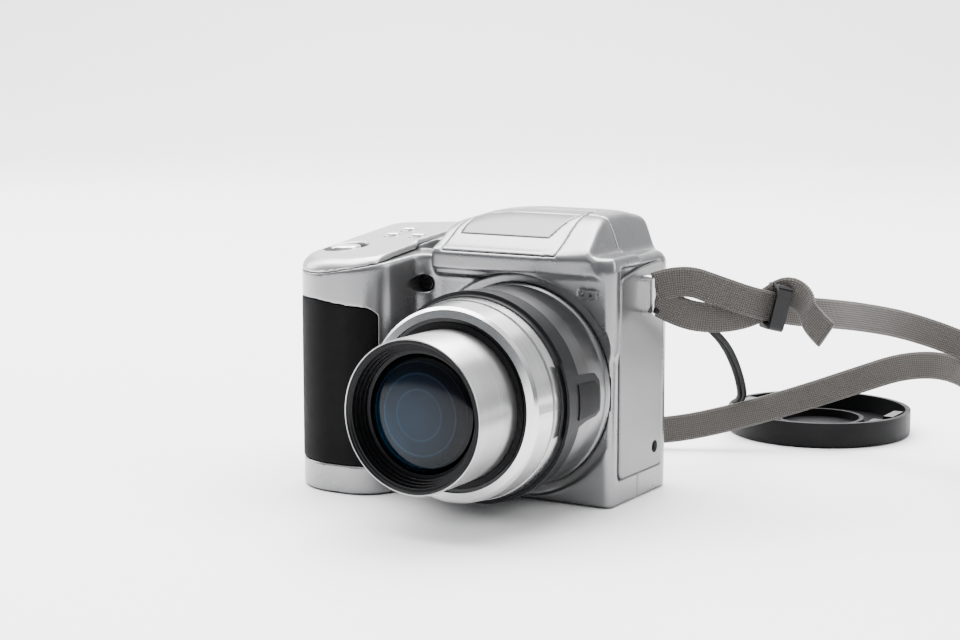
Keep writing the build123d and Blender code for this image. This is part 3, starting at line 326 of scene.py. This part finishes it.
def even(line, step):
    """The same line with its points an even step apart."""
    lengths = [0.0]
    for here, after in zip(line, line[1:]):
        lengths.append(lengths[-1] + (after - here).length)
    count = max(2, round(lengths[-1] / step))
    spaced = []
    place = 0
    for share in range(count + 1):
        reach = lengths[-1] * share / count
        while place < len(line) - 2 and lengths[place + 1] < reach:
            place += 1
        span = lengths[place + 1] - lengths[place]
        spaced.append(line[place].lerp(line[place + 1], (reach - lengths[place]) / span))
    return spaced, lengths[-1]


def add_mesh(name, vertices, faces, finish, smooth=True):
    """A new mesh object."""
    mesh = bpy.data.meshes.new(name)
    mesh.from_pydata(vertices, [], faces)
    mesh.validate()
    made = bpy.data.objects.new(name, mesh)
    bpy.context.scene.collection.objects.link(made)
    mesh.materials.append(finish)
    for face in mesh.polygons:
        face.use_smooth = smooth
    return made


def swept(name, line, section, finish, upright=Vector((0.0, 0.0, 1.0))):
    """A section of (across, along the width) points carried along a line, its width kept upright."""
    vertices = []
    faces = []
    count = len(section)
    for place, point in enumerate(line):
        tangent = (line[min(place + 1, len(line) - 1)] - line[max(place - 1, 0)]).normalized()
        side = tangent.cross(upright).normalized()
        top = side.cross(tangent)
        for across, high in section:
            vertices.append(point + side * across + top * high)
        if place:
            for corner in range(count):
                after = (corner + 1) % count
                low = (place - 1) * count
                faces.append((low + corner, low + after, place * count + after, place * count + corner))
    faces.append(tuple(range(count - 1, -1, -1)))
    faces.append(tuple(range((len(line) - 1) * count, len(line) * count)))
    made = add_mesh(name, vertices, faces, finish)
    layer = made.data.uv_layers.new(name="UVMap")
    step = (line[1] - line[0]).length
    for face in made.data.polygons:
        for loop in face.loop_indices:
            vertex = made.data.loops[loop].vertex_index
            layer.data[loop].uv = (vertex // count * step, section[vertex % count][1])
    return made


STRAP_WIDTH = 8.0 * MM
STRAP_THICK = 1.3 * MM
STEP = 1.0 * MM           # along a cord, between its rings of vertices
strap_out = mm([
    (31.9, 0.5, 57.4), (38.5, 3.0, 60.0), (46.5, 8.5, 56.5), (54.0, 14.0, 53.2), (62.0, 22.0, 50.5),
    (68.0, 36.0, 48.5), (70.5, 54.0, 45.5), (76.0, 73.0, 41.5), (88.0, 86.0, 35.5), (105.0, 93.0, 27.0),
    (124.0, 94.0, 18.5), (141.0, 87.5, 13.0), (153.0, 77.0, 11.0),
])
strap_back = mm([
    (114.6, 38.0, 4.6), (113.0, 54.0, 8.0), (108.5, 68.0, 14.5), (99.5, 80.0, 22.5),
    (87.0, 88.0, 28.0), (72.0, 90.0, 27.0), (56.0, 89.5, 20.5), (41.0, 84.0, 14.6), (26.0, 74.0, 9.6),
    (9.0, 62.0, 5.4), (-10.0, 55.0, 4.4), (-32.0, 51.0, 4.6), (-53.0, 45.0, 9.0), (-68.0, 35.0, 20.0),
    (-76.0, 22.0, 34.0), (-77.5, 10.0, 46.0), (-73.0, 2.5, 53.5), (-67.4, 0.5, 57.0),
])
strap_tail = mm([
    (31.9, 0.5, 54.2), (37.5, 3.2, 50.6), (44.0, 8.5, 48.8), (51.5, 14.0, 49.6), (57.0, 19.0, 53.0),
    (61.5, 20.5, 56.6), (66.5, 20.0, 54.0), (69.0, 18.0, 49.0), (74.0, 17.0, 45.5),
])
tether_route = mm([
    (31.4, -0.1, 51.3), (33.8, 5.0, 50.0), (36.0, 12.0, 48.4), (38.0, 20.0, 45.4), (37.5, 34.0, 38.5),
    (34.0, 50.0, 30.0), (28.5, 68.0, 20.5), (21.5, 86.0, 12.5), (14.2, 98.5, 8.8),
])

coil_low, coil_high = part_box("strap_coil")
COIL_MIDDLE = (Vector(coil_low) + Vector(coil_high)) / 2
COIL_OUT = (coil_high[0] - coil_low[0]) / 2 - STRAP_THICK
COIL_TURNS = 1.72
COIL_POINTS = 28
COIL_START = math.radians(80)
COIL_LIFT = 6.0 * MM      # the first turn comes down from the strap's end
LIFT_SHARE = 6
coil = []
for place in range(COIL_POINTS + 1):
    share = place / COIL_POINTS
    angle = COIL_START - share * COIL_TURNS * math.tau
    reach = COIL_OUT - STRAP_WIDTH * COIL_TURNS * (1 - share)
    lift = COIL_LIFT * max(0.0, 1 - share * LIFT_SHARE)
    coil.append(COIL_MIDDLE + Vector((math.cos(angle) * reach, math.sin(angle) * reach, lift)))

strap_line, strap_length = even(route_points("strap_route", strap_out + coil + strap_back), STEP)
half = STRAP_WIDTH / 2
thin = STRAP_THICK / 2
webbing_section = [
    (-thin, -half * 0.8), (-thin, 0.0), (-thin, half * 0.8), (-thin * 0.5, half), (thin * 0.5, half),
    (thin, half * 0.8), (thin, 0.0), (thin, -half * 0.8), (thin * 0.5, -half), (-thin * 0.5, -half),
]
strap = swept("strap", strap_line, webbing_section, WEBBING)
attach(strap, "body")
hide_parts("strap_out", "strap_back", "strap_coil")

tail_line, tail_length = even(route_points("tail_route", strap_tail), STEP)
tail = swept("strap_end", tail_line, webbing_section, WEBBING)
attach(tail, "body")
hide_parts("strap_tail")

tether_line, tether_length = even(route_points("tether_route", tether_route), STEP)
TETHER_R = 0.75 * MM
TETHER_SIDES = 10
STRAND_APART = TETHER_R * 0.95
strands = []
for side in (-1, 1):
    round_section = []
    for turn in range(TETHER_SIDES):
        angle = turn * math.tau / TETHER_SIDES
        round_section.append((side * STRAND_APART + TETHER_R * math.cos(angle), TETHER_R * math.sin(angle)))
    strands.append(swept(f"tether_{side}", tether_line, round_section, CORD))
bpy.ops.object.select_all(action="DESELECT")
for strand in strands:
    strand.select_set(True)
bpy.context.view_layer.objects.active = strands[0]
bpy.ops.object.join()
tether = strands[0]
tether.name = "tether"
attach(tether, "body")
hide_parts("lens_tether")


# ---- lens pieces --------------------------------------------------------------------------------
SHARP_ANGLE = math.radians(32)


def turned_piece(name, profile, finish, body, steps=128):
    """A profile of (radius, y) in millimetres turned round the lens axis."""
    vertices = []
    faces = []
    for turn in range(steps):
        angle = turn / steps * math.tau
        for radius, y in profile:
            vertices.append(Vector((radius * math.cos(angle), y, LENS_Z + radius * math.sin(angle))) * MM)
    count = len(profile)
    for turn in range(steps):
        after = (turn + 1) % steps
        for place in range(count - 1):
            faces.append((turn * count + place, turn * count + place + 1, after * count + place + 1,
                          after * count + place))
    made = add_mesh(name, vertices, faces, finish)
    made.data.set_sharp_from_angle(angle=SHARP_ANGLE)
    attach(made, body)
    return made


def dome(radius, y, bulge, steps=14):
    """A lens face's profile, from its edge to its centre."""
    quarter = math.pi / 2
    return [(radius * math.cos(step / steps * quarter), y - bulge * math.sin(step / steps * quarter))
            for step in range(steps + 1)]


barrel_low, barrel_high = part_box("zoom_barrel")
barrel_front = barrel_low[1] / MM
barrel_rear = barrel_high[1] / MM
BARREL_R = (barrel_high[0] - barrel_low[0]) / 2 / MM
BARREL_WALL = 1.5
rim_inside = BARREL_R - 0.4
barrel_skin = turned_piece("barrel_skin", [
    (rim_inside, barrel_front + 0.1), (rim_inside + 0.15, barrel_front),
    (BARREL_R - 0.1, barrel_front + 0.05), (BARREL_R, barrel_front + 0.3), (BARREL_R, barrel_rear),
    (BARREL_R - BARREL_WALL, barrel_rear),
], BARREL, "zoom_barrel")
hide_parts("zoom_barrel")
barrel_liner = turned_piece("barrel_liner", [
    (BARREL_R - BARREL_WALL, barrel_rear), (BARREL_R - BARREL_WALL, barrel_front + 0.7),
    (BARREL_R - 1.1, barrel_front + 0.45), (BARREL_R - 0.8, barrel_front + 0.45),
    (rim_inside, barrel_front + 0.1),
], STEPPED, "zoom_barrel")

glass_low, glass_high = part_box("front_glass")
glass_front = glass_low[1] / MM
GLASS_R = (glass_high[0] - glass_low[0]) / 2 / MM
glass_back = [(0.01, glass_front + 3.4), (GLASS_R, glass_front + 3.0)]
front_element = turned_piece("front_element", glass_back + dome(GLASS_R, glass_front + 2.6, 2.4),
                             LENS_REFLECTION_PAINT, "zoom_barrel")
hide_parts("front_glass")

BAND_PROFILE = [(27.0, -37.44), (27.66, -37.2), (27.68, -33.4), (27.5, -33.3)]
band = turned_piece("shroud_band", BAND_PROFILE, CHARCOAL, "body")

# ---- housing shells -----------------------------------------------------------------------------
# The housing's smooth outside is a field of signed distances in millimetres, and each shell is a part
# of it: negative inside, positive outside.
RIGHT_X = 28.0
LEFT_X = -63.5
FRONT_Y = -17.0
REAR_Y = 21.0
GRIP_Y = -37.5
BROW_Y = -20.0
SEAM_Y = -1.0
BROW_LEFT_X = -25.2
SHOULDER_Z = 65.6
HUMP_LOW_Z = 62.0
GRIP_ROUND = 16.0
FLANK_X = -34.0
FLANK_SLOPE = (20.5 / 21.1, -5.0 / 21.1)
FLANK_ROUND = 8.0
ROOT_ROUND = 5.0
FRONT_ROUND = 2.2
REAR_ROUND = 7.0
TOP_ROUND = 3.6
BASE_BEVEL = 0.8
# the hump's outline: (x, height) across the camera and (y, height) along it
HUMP_ACROSS = [
    (-40, 60), (-36.5, 66), (-31, 69.6), (-25, 73.0), (-17, 76.2), (-8, 77.4), (10, 77.4), (15, 77.0),
    (18.2, 75.6), (20.2, 72.0), (21.0, 67.5), (23.0, 64.0), (26, 58),
]
HUMP_ALONG = [
    (-24, 65.6), (-20, 66.3), (-13, 70.2), (-9, 73.0), (-4, 75.8), (2, 77.4), (12, 77.4), (21, 74.6),
    (26, 73),
]
SHROUD_RECESS = (30.2, -16.6)     # radius, and how far back it goes
LENS_OPENING = (27.2, -10.0)
BASE_INSET = 2.95
BASE_TOP_Z = 1.65
FLASH_PIN_Y = 1.4
FLASH_PIN_Z = 74.2
FLASH_SWING_R = 3.75
RUBBER_END_X = -34.2
RUBBER_REAR_Y = 4.0
RUBBER_LOW_Z = 8.0
RUBBER_TOP_Z = 52.6
RUBBER_THICK = 1.3
COVER_THICK = 1.8
SEAM = 0.12
VOXEL = 0.42


def most(fields):
    """Where every field is solid."""
    return functools.reduce(numpy.maximum, fields)


def least(fields):
    """Where any field is solid."""
    return functools.reduce(numpy.minimum, fields)


def meet(a, b, radius):
    """Where both fields are solid, with a rounded outer edge."""
    corner = numpy.hypot(numpy.maximum(a + radius, 0), numpy.maximum(b + radius, 0))
    return corner + numpy.minimum(numpy.maximum(a, b) + radius, 0) - radius


def joined(a, b, radius):
    """Where either field is solid, with a filleted inner corner."""
    return -meet(-a, -b, radius)


def smooth_curve(points, values, width=1.2):
    """Heights between points, rounded over a few millimetres."""
    fine = numpy.arange(points[0][0], points[-1][0], 0.1)
    heights = numpy.interp(fine, [point[0] for point in points], [point[1] for point in points])
    reach = int(width * 30)
    kernel = numpy.exp(-0.5 * (numpy.arange(-reach, reach + 1) * 0.1 / width) ** 2)
    padded = numpy.pad(heights, reach, mode="edge")
    heights = numpy.convolve(padded, kernel / kernel.sum(), mode="valid")
    return numpy.interp(values, fine, heights)


def block(x, y, z, low, high, radius):
    """A rounded box's field."""
    sides = [numpy.abs(value - (a + b) / 2) - (b - a) / 2 for value, a, b in zip((x, y, z), low, high)]
    inner = [side + radius for side in sides]
    outside = numpy.sqrt(sum(numpy.maximum(side, 0) ** 2 for side in inner))
    inside = numpy.minimum(numpy.maximum(numpy.maximum(inner[0], inner[1]), inner[2]), 0)
    return outside + inside - radius


def node_box(name, grow):
    """A CAD node's box in millimetres, grown by a clearance."""
    low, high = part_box(name)
    return [value / MM - grow for value in low], [value / MM + grow for value in high]


def plan_field(x, y):
    """The housing's plan: the main box and the grip, with its slanted inner flank."""
    grip = meet(LEFT_X - x, GRIP_Y - y, GRIP_ROUND)
    grip = meet(grip, (x - FLANK_X) * FLANK_SLOPE[0] + (y - GRIP_Y) * FLANK_SLOPE[1], FLANK_ROUND)
    main = meet(x - RIGHT_X, FRONT_Y - y, FRONT_ROUND)
    outline = joined(grip, numpy.maximum(main, LEFT_X - x), ROOT_ROUND)
    outline = meet(outline, y - REAR_Y, 0.5)
    for side in (x - RIGHT_X, LEFT_X - x):
        outline = numpy.maximum(outline, meet(side, y - REAR_Y, REAR_ROUND))
    return outline


def top_height(x, y):
    """The tilted deck over the grip, and the flat shoulder on the lens side."""
    deck = 63.6 + 0.105 * (y - GRIP_Y) + 0.06 * (x + 50.0)
    share = numpy.clip((x + 30.0) / 12.0, 0, 1)
    return deck * (1 - share) + SHOULDER_Z * share


def outside_field(x, y, z):
    """The whole housing without its openings."""
    plan = plan_field(x, y)
    body = meet(plan, z - top_height(x, y), TOP_ROUND)
    body = meet(body, -z, BASE_BEVEL)
    hump = meet((z - smooth_curve(HUMP_ACROSS, x)) * 0.75, (z - smooth_curve(HUMP_ALONG, y)) * 0.85, 2.5)
    brow_face = (BROW_Y - y) * 0.98 + numpy.maximum(x - 6.0, 0) * 0.17
    hump = meet(hump, brow_face, 1.2)
    hump = meet(hump, y - REAR_Y, 1.4)
    hump = numpy.maximum(hump, HUMP_LOW_Z - z)
    hump = numpy.maximum(hump, numpy.where(y < FRONT_Y + 4, BROW_LEFT_X - x, -1e3))
    brow = block(x, y, z, (BROW_LEFT_X, BROW_Y, 40.0), (RIGHT_X, 0.0, 66.2), 1.3)
    brow = meet(brow, 59.6 - z - numpy.maximum(x - 2.0, 0) * 1.6, 1.0)
    brow = meet(brow, brow_face, 1.2)
    body = joined(body, brow, 1.6)
    return joined(body, hump, 1.8)


def recess_field(x, y, z):
    """What is taken out of the housing for the pieces that sit in it."""
    lens = numpy.hypot(x, z - LENS_Z)
    taken = [numpy.maximum(lens - radius, y - depth) for radius, depth in (SHROUD_RECESS, LENS_OPENING)]
    low, high = node_box("mic_cap", 0.1)
    taken.append(block(x, y, z, (low[0], -30.0, low[2]), high, 0.3))
    for name in ("side_panel", "lcd_window", "zoom_rocker"):
        taken.append(block(x, y, z, *node_box(name, 0.15), 0.6))
    taken.append(block(x, y, z, *node_box("eyecup", 0.1), 2.2))
    taken.append(block(x, y, z, *node_box("battery_cells", 0.3), 0.5))
    low, high = node_box("battery_cells", 0.3)
    taken.append(block(x, y, z, (low[0], low[1], -2.0), high, 0.5))
    for name in ("delete_button", "menu_button", "review_button", "display_button", "mode_dial", "af_lamp"):
        low, high = node_box(name, 0.12)
        low[1] -= 12.0 * (name == "af_lamp")
        radius = (high[0] - low[0]) / 2
        away = numpy.hypot(x - (low[0] + high[0]) / 2, z - (low[2] + high[2]) / 2) - radius
        taken.append(numpy.maximum(numpy.maximum(away, low[1] - y), y - high[1]))
    for name in ("shutter_surround", "drive_button", "focus_button", "flash_button"):
        low, high = node_box(name, 0.12 if name == "shutter_surround" else 0.4)
        radius = (high[0] - low[0]) / 2
        away = numpy.hypot(x - (low[0] + high[0]) / 2, y - (low[1] + high[1]) / 2) - radius
        taken.append(numpy.maximum(away, low[2] - z))
    taken.append(numpy.maximum(plan_field(x, y) + BASE_INSET, z - BASE_TOP_Z))
    return least(taken)


def flash_zone(x, y, z, grow):
    """The flash head's space: its box, and its swing behind the pin."""
    low, high = node_box("flash_head", 0.0)
    head = most([low[0] - grow - x, x - high[0] - grow, y - FLASH_PIN_Y - grow, low[2] - grow - z])
    swing = numpy.hypot(y - FLASH_PIN_Y, z - FLASH_PIN_Z) - FLASH_SWING_R - grow
    return numpy.minimum(head, most([low[0] - grow - x, x - high[0] - grow, swing]))


def rubber_zone(x, y, z, grow):
    """The grip's rubber: round its front and side, with a dip at the inner end of its top edge."""
    top = RUBBER_TOP_Z - 1.8 * numpy.clip((x + 52.0) / 18.0, 0, 1)
    sheet = most([z - top, RUBBER_LOW_Z - z, y - RUBBER_REAR_Y, x - RUBBER_END_X])
    corner = meet(z - top, x - RUBBER_END_X, 3.0)
    return numpy.maximum(numpy.maximum(sheet, corner) - grow, -plan_field(x, y) - RUBBER_THICK - grow)


def deck_zone(x, y, z):
    """The light deck cover over the grip: its front edge rolls down the grip in a shallow wave."""
    wave = 2.8 + 0.9 * numpy.sin((x + 66.0) / 34.0 * math.tau * 0.75)
    skirt = top_height(x, y) - wave - z
    return most([skirt, x + 25.4, (x + 36.0) * 0.8 + (y + 20.0) * -0.25 - 8.0])


def field_mesh(name, field, low, high, finish):
    """A closed mesh on a field's surface, one quad per crossed grid edge."""
    axes = [numpy.arange(a, b + VOXEL, VOXEL) for a, b in zip(low, high)]
    grid = numpy.meshgrid(*axes, indexing="ij", sparse=True)
    values = numpy.broadcast_to(field(*grid), tuple(len(axis) for axis in axes)).copy()
    for axis in range(3):
        edge = [slice(None)] * 3
        for end in (0, -1):
            edge[axis] = end
            values[tuple(edge)] = numpy.maximum(values[tuple(edge)], VOXEL)
    solid = values < 0
    size = numpy.array(values.shape)
    sums = numpy.zeros(tuple(size - 1) + (3,), dtype=numpy.float32)
    counts = numpy.zeros(tuple(size - 1), dtype=numpy.float32)
    for axis in range(3):
        others = [other for other in range(3) if other != axis]
        first = [slice(None)] * 3
        second = [slice(None)] * 3
        first[axis] = slice(0, -1)
        second[axis] = slice(1, None)
        a = values[tuple(first)]
        b = values[tuple(second)]
        crossed = solid[tuple(first)] != solid[tuple(second)]
        share = numpy.where(crossed, a / numpy.where(crossed, a - b, 1), 0)
        for up_one in (0, 1):
            for up_two in (0, 1):
                take = [slice(None)] * 3
                take[others[0]] = slice(up_one, size[others[0]] - 1 + up_one)
                take[others[1]] = slice(up_two, size[others[1]] - 1 + up_two)
                hit = crossed[tuple(take)]
                counts += hit
                sums[..., axis] += numpy.where(hit, share[tuple(take)], 0)
                sums[..., others[0]] += hit * up_one
                sums[..., others[1]] += hit * up_two
    used = counts > 0
    cells = numpy.argwhere(used)
    numbers = numpy.full(tuple(size - 1), -1, dtype=numpy.int64)
    numbers[used] = numpy.arange(len(cells))
    places = cells + sums[used] / counts[used][:, None]
    vertices = (numpy.array(low) + places * VOXEL) * MM
    faces = []
    for axis in range(3):
        one, two = [(1, 2), (2, 0), (0, 1)][axis]
        first = [slice(1, -1)] * 3
        second = [slice(1, -1)] * 3
        first[axis] = slice(0, -1)
        second[axis] = slice(1, None)
        change = solid[tuple(first)].astype(int) - solid[tuple(second)].astype(int)
        hits = numpy.argwhere(change != 0)
        outward = change[change != 0] > 0
        offset = numpy.ones(3, dtype=int)
        offset[axis] = 0
        base = hits + offset
        corners = []
        for back_one, back_two in ((1, 1), (0, 1), (0, 0), (1, 0)):
            cell = base.copy()
            cell[:, one] -= back_one
            cell[:, two] -= back_two
            corners.append(numbers[cell[:, 0], cell[:, 1], cell[:, 2]])
        quads = numpy.stack(corners, axis=1)
        quads[~outward] = quads[~outward][:, ::-1]
        faces.append(quads)
    return add_mesh(name, vertices.tolist(), numpy.concatenate(faces).tolist(), finish)


def shell_piece(name, field, nodes, body, finish, rounds=3):
    """A piece of the housing, in place of its CAD nodes."""
    lows, highs = zip(*(node_box(node, 1.6) for node in nodes))
    low = numpy.min(lows, axis=0)
    high = numpy.max(highs, axis=0)
    made = field_mesh(name, field, low, high, finish)
    relax = made.modifiers.new("smooth", "SMOOTH")
    relax.factor = 0.5
    relax.iterations = rounds
    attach(made, body)
    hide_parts(*nodes)
    return made


def housing(x, y, z):
    """The two main shells together, with every opening."""
    taken = numpy.minimum(recess_field(x, y, z), flash_zone(x, y, z, SEAM))
    taken = numpy.minimum(taken, rubber_zone(x, y, z, SEAM))
    taken = numpy.minimum(taken, numpy.maximum(deck_zone(x, y, z) - SEAM / 3, -outside_field(x, y, z) - 2.0))
    return numpy.maximum(outside_field(x, y, z), -taken)


def front_field(x, y, z):
    """The front shell, up to the seam."""
    return numpy.maximum(housing(x, y, z), y - SEAM_Y + SEAM)


def rear_field(x, y, z):
    """The rear shell, behind the seam."""
    return numpy.maximum(housing(x, y, z), SEAM_Y + SEAM - y)


def deck_field(x, y, z):
    """The light cover over the grip."""
    outside = outside_field(x, y, z)
    cover = most([outside, deck_zone(x, y, z), -outside - COVER_THICK])
    return numpy.maximum(cover, -recess_field(x, y, z))


def rubber_field(x, y, z):
    """The grip's rubber, a little proud."""
    return numpy.maximum(outside_field(x, y, z) - 0.12, rubber_zone(x, y, z, 0.0))


def plate_zone(x, y, z, grow):
    """The space of the plate on the flash head, with its slanted end."""
    low, high = node_box("flash_top_plate", grow)
    taper = (x - high[0] + 4.2) * 0.93 + (y - high[1]) * -0.37 - 3.9
    return most([low[0] - x, x - high[0], low[1] - y, y - high[1], taper])


def flash_field(x, y, z):
    """The flash head, with its pocket for the window and its recess for the plate."""
    outside = outside_field(x, y, z)
    head = numpy.maximum(outside, flash_zone(x, y, z, 0.0))
    low, high = node_box("flash_window", 0.0)
    pocket = block(x, y, z, (low[0], BROW_Y + 2.0, low[2] - 4.0),
                   (high[0], high[1] + 2.0, high[2] - 0.6), 0.8)
    pocket = numpy.maximum(pocket, outside + 2.4)
    skin = numpy.maximum(plate_zone(x, y, z, 0.1), -outside - 1.7)
    return numpy.maximum(numpy.maximum(head, -skin), -pocket)


def plate_field(x, y, z):
    """The plate itself."""
    outside = outside_field(x, y, z)
    return most([outside + 0.1, -outside - 1.6, plate_zone(x, y, z, 0.0)])


shell_piece("front_housing", front_field, ["front_shell"], "body", SILVER)
shell_piece("rear_housing", rear_field, ["rear_shell"], "body", SILVER)
shell_piece("deck_cover", deck_field, ["top_deck"], "body", DECK)
shell_piece("grip_cover", rubber_field, ["grip_rubber"], "body", RUBBER)
shell_piece("flash_cover", flash_field, ["flash_head"], "flash", SILVER)
shell_piece("flash_plate", plate_field, ["flash_top_plate"], "flash", FLASH, 1)


# ---- floor and light ----------------------------------------------------------------------------
floor_finish = material("floor", (0.90, 0.90, 0.905), 0.55)
floor_tree = floor_finish.node_tree
link(floor_finish, ramp(floor_tree, noise(floor_tree, 3.0, 3.0), (0.89, 0.89, 0.895), (0.91, 0.91, 0.915)),
     "Base Color")
FLOOR = 6.0               # half the width of the curved backdrop
sweep_profile = [(-3.0, 0.0), (1.2, 0.0)]
for step in range(9):
    turn = step / 8 * math.pi / 2
    sweep_profile.append((1.4 + 0.8 * math.sin(turn), 0.8 - 0.8 * math.cos(turn)))
sweep_profile.append((2.2, 4.0))
toward = -back.copy()
toward.z = 0.0
toward.normalize()
backdrop_points = []
for side in (-FLOOR, FLOOR):
    for reach, height in sweep_profile:
        backdrop_points.append(toward * reach + right * side + Vector((0.0, 0.0, height - 0.0002)))
count = len(sweep_profile)
backdrop = add_mesh("backdrop", backdrop_points,
                    [(place, place + 1, count + place + 1, count + place) for place in range(count - 1)],
                    floor_finish)
backdrop_middle = toward * 1.2


def area_light(name, place, target, size, power):
    """A square soft light that faces a point."""
    data = bpy.data.lights.new(name, "AREA")
    data.shape = "RECTANGLE"
    data.size, data.size_y = size
    data.energy = power
    lamp = bpy.data.objects.new(name, data)
    bpy.context.scene.collection.objects.link(lamp)
    lamp.location = place
    lamp.rotation_euler = (Vector(target) - Vector(place)).to_track_quat("-Z", "Y").to_euler()
    return lamp


area_light("top", (-0.3, 0.2, 1.4), (-0.05, 0.0, 0.0), (1.9, 1.4), 50.0)
area_light("left", (-1.3, 0.0, 0.7), (0.0, 0.0, 0.05), (0.6, 1.0), 9.0)
area_light("right", (1.3, 0.2, 0.7), (0.0, 0.0, 0.05), (0.6, 1.0), 6.0)
area_light("backdrop_glow", backdrop_middle + Vector((0.0, 0.0, 1.6)), backdrop_middle, (2.5, 1.5), 30.0)

world = bpy.data.worlds.new("world")
bpy.context.scene.world = world
world.use_nodes = True
sky = world.node_tree
direction = sky.nodes.new("ShaderNodeTexCoord")
parts = sky.nodes.new("ShaderNodeSeparateXYZ")
sky.links.new(direction.outputs["Generated"], parts.inputs["Vector"])
# darker in front of the camera's lens side than behind it
tilted = sky.nodes.new("ShaderNodeMath")
tilted.operation = "MULTIPLY_ADD"
tilted.inputs[1].default_value = 0.3
sky.links.new(parts.outputs["Y"], tilted.inputs[0])
sky.links.new(parts.outputs["Z"], tilted.inputs[2])
height = spread(sky, tilted.outputs[0], 0.0, 1.0)
height.node.inputs["From Min"].default_value = -0.1
height.node.inputs["From Max"].default_value = 0.9
shade = ramp(sky, height, (0.16, 0.17, 0.18), (1.0, 1.0, 1.0), 0.05, 0.8)
sky.links.new(shade, sky.nodes["Background"].inputs["Color"])
sky.nodes["Background"].inputs["Strength"].default_value = 1.15
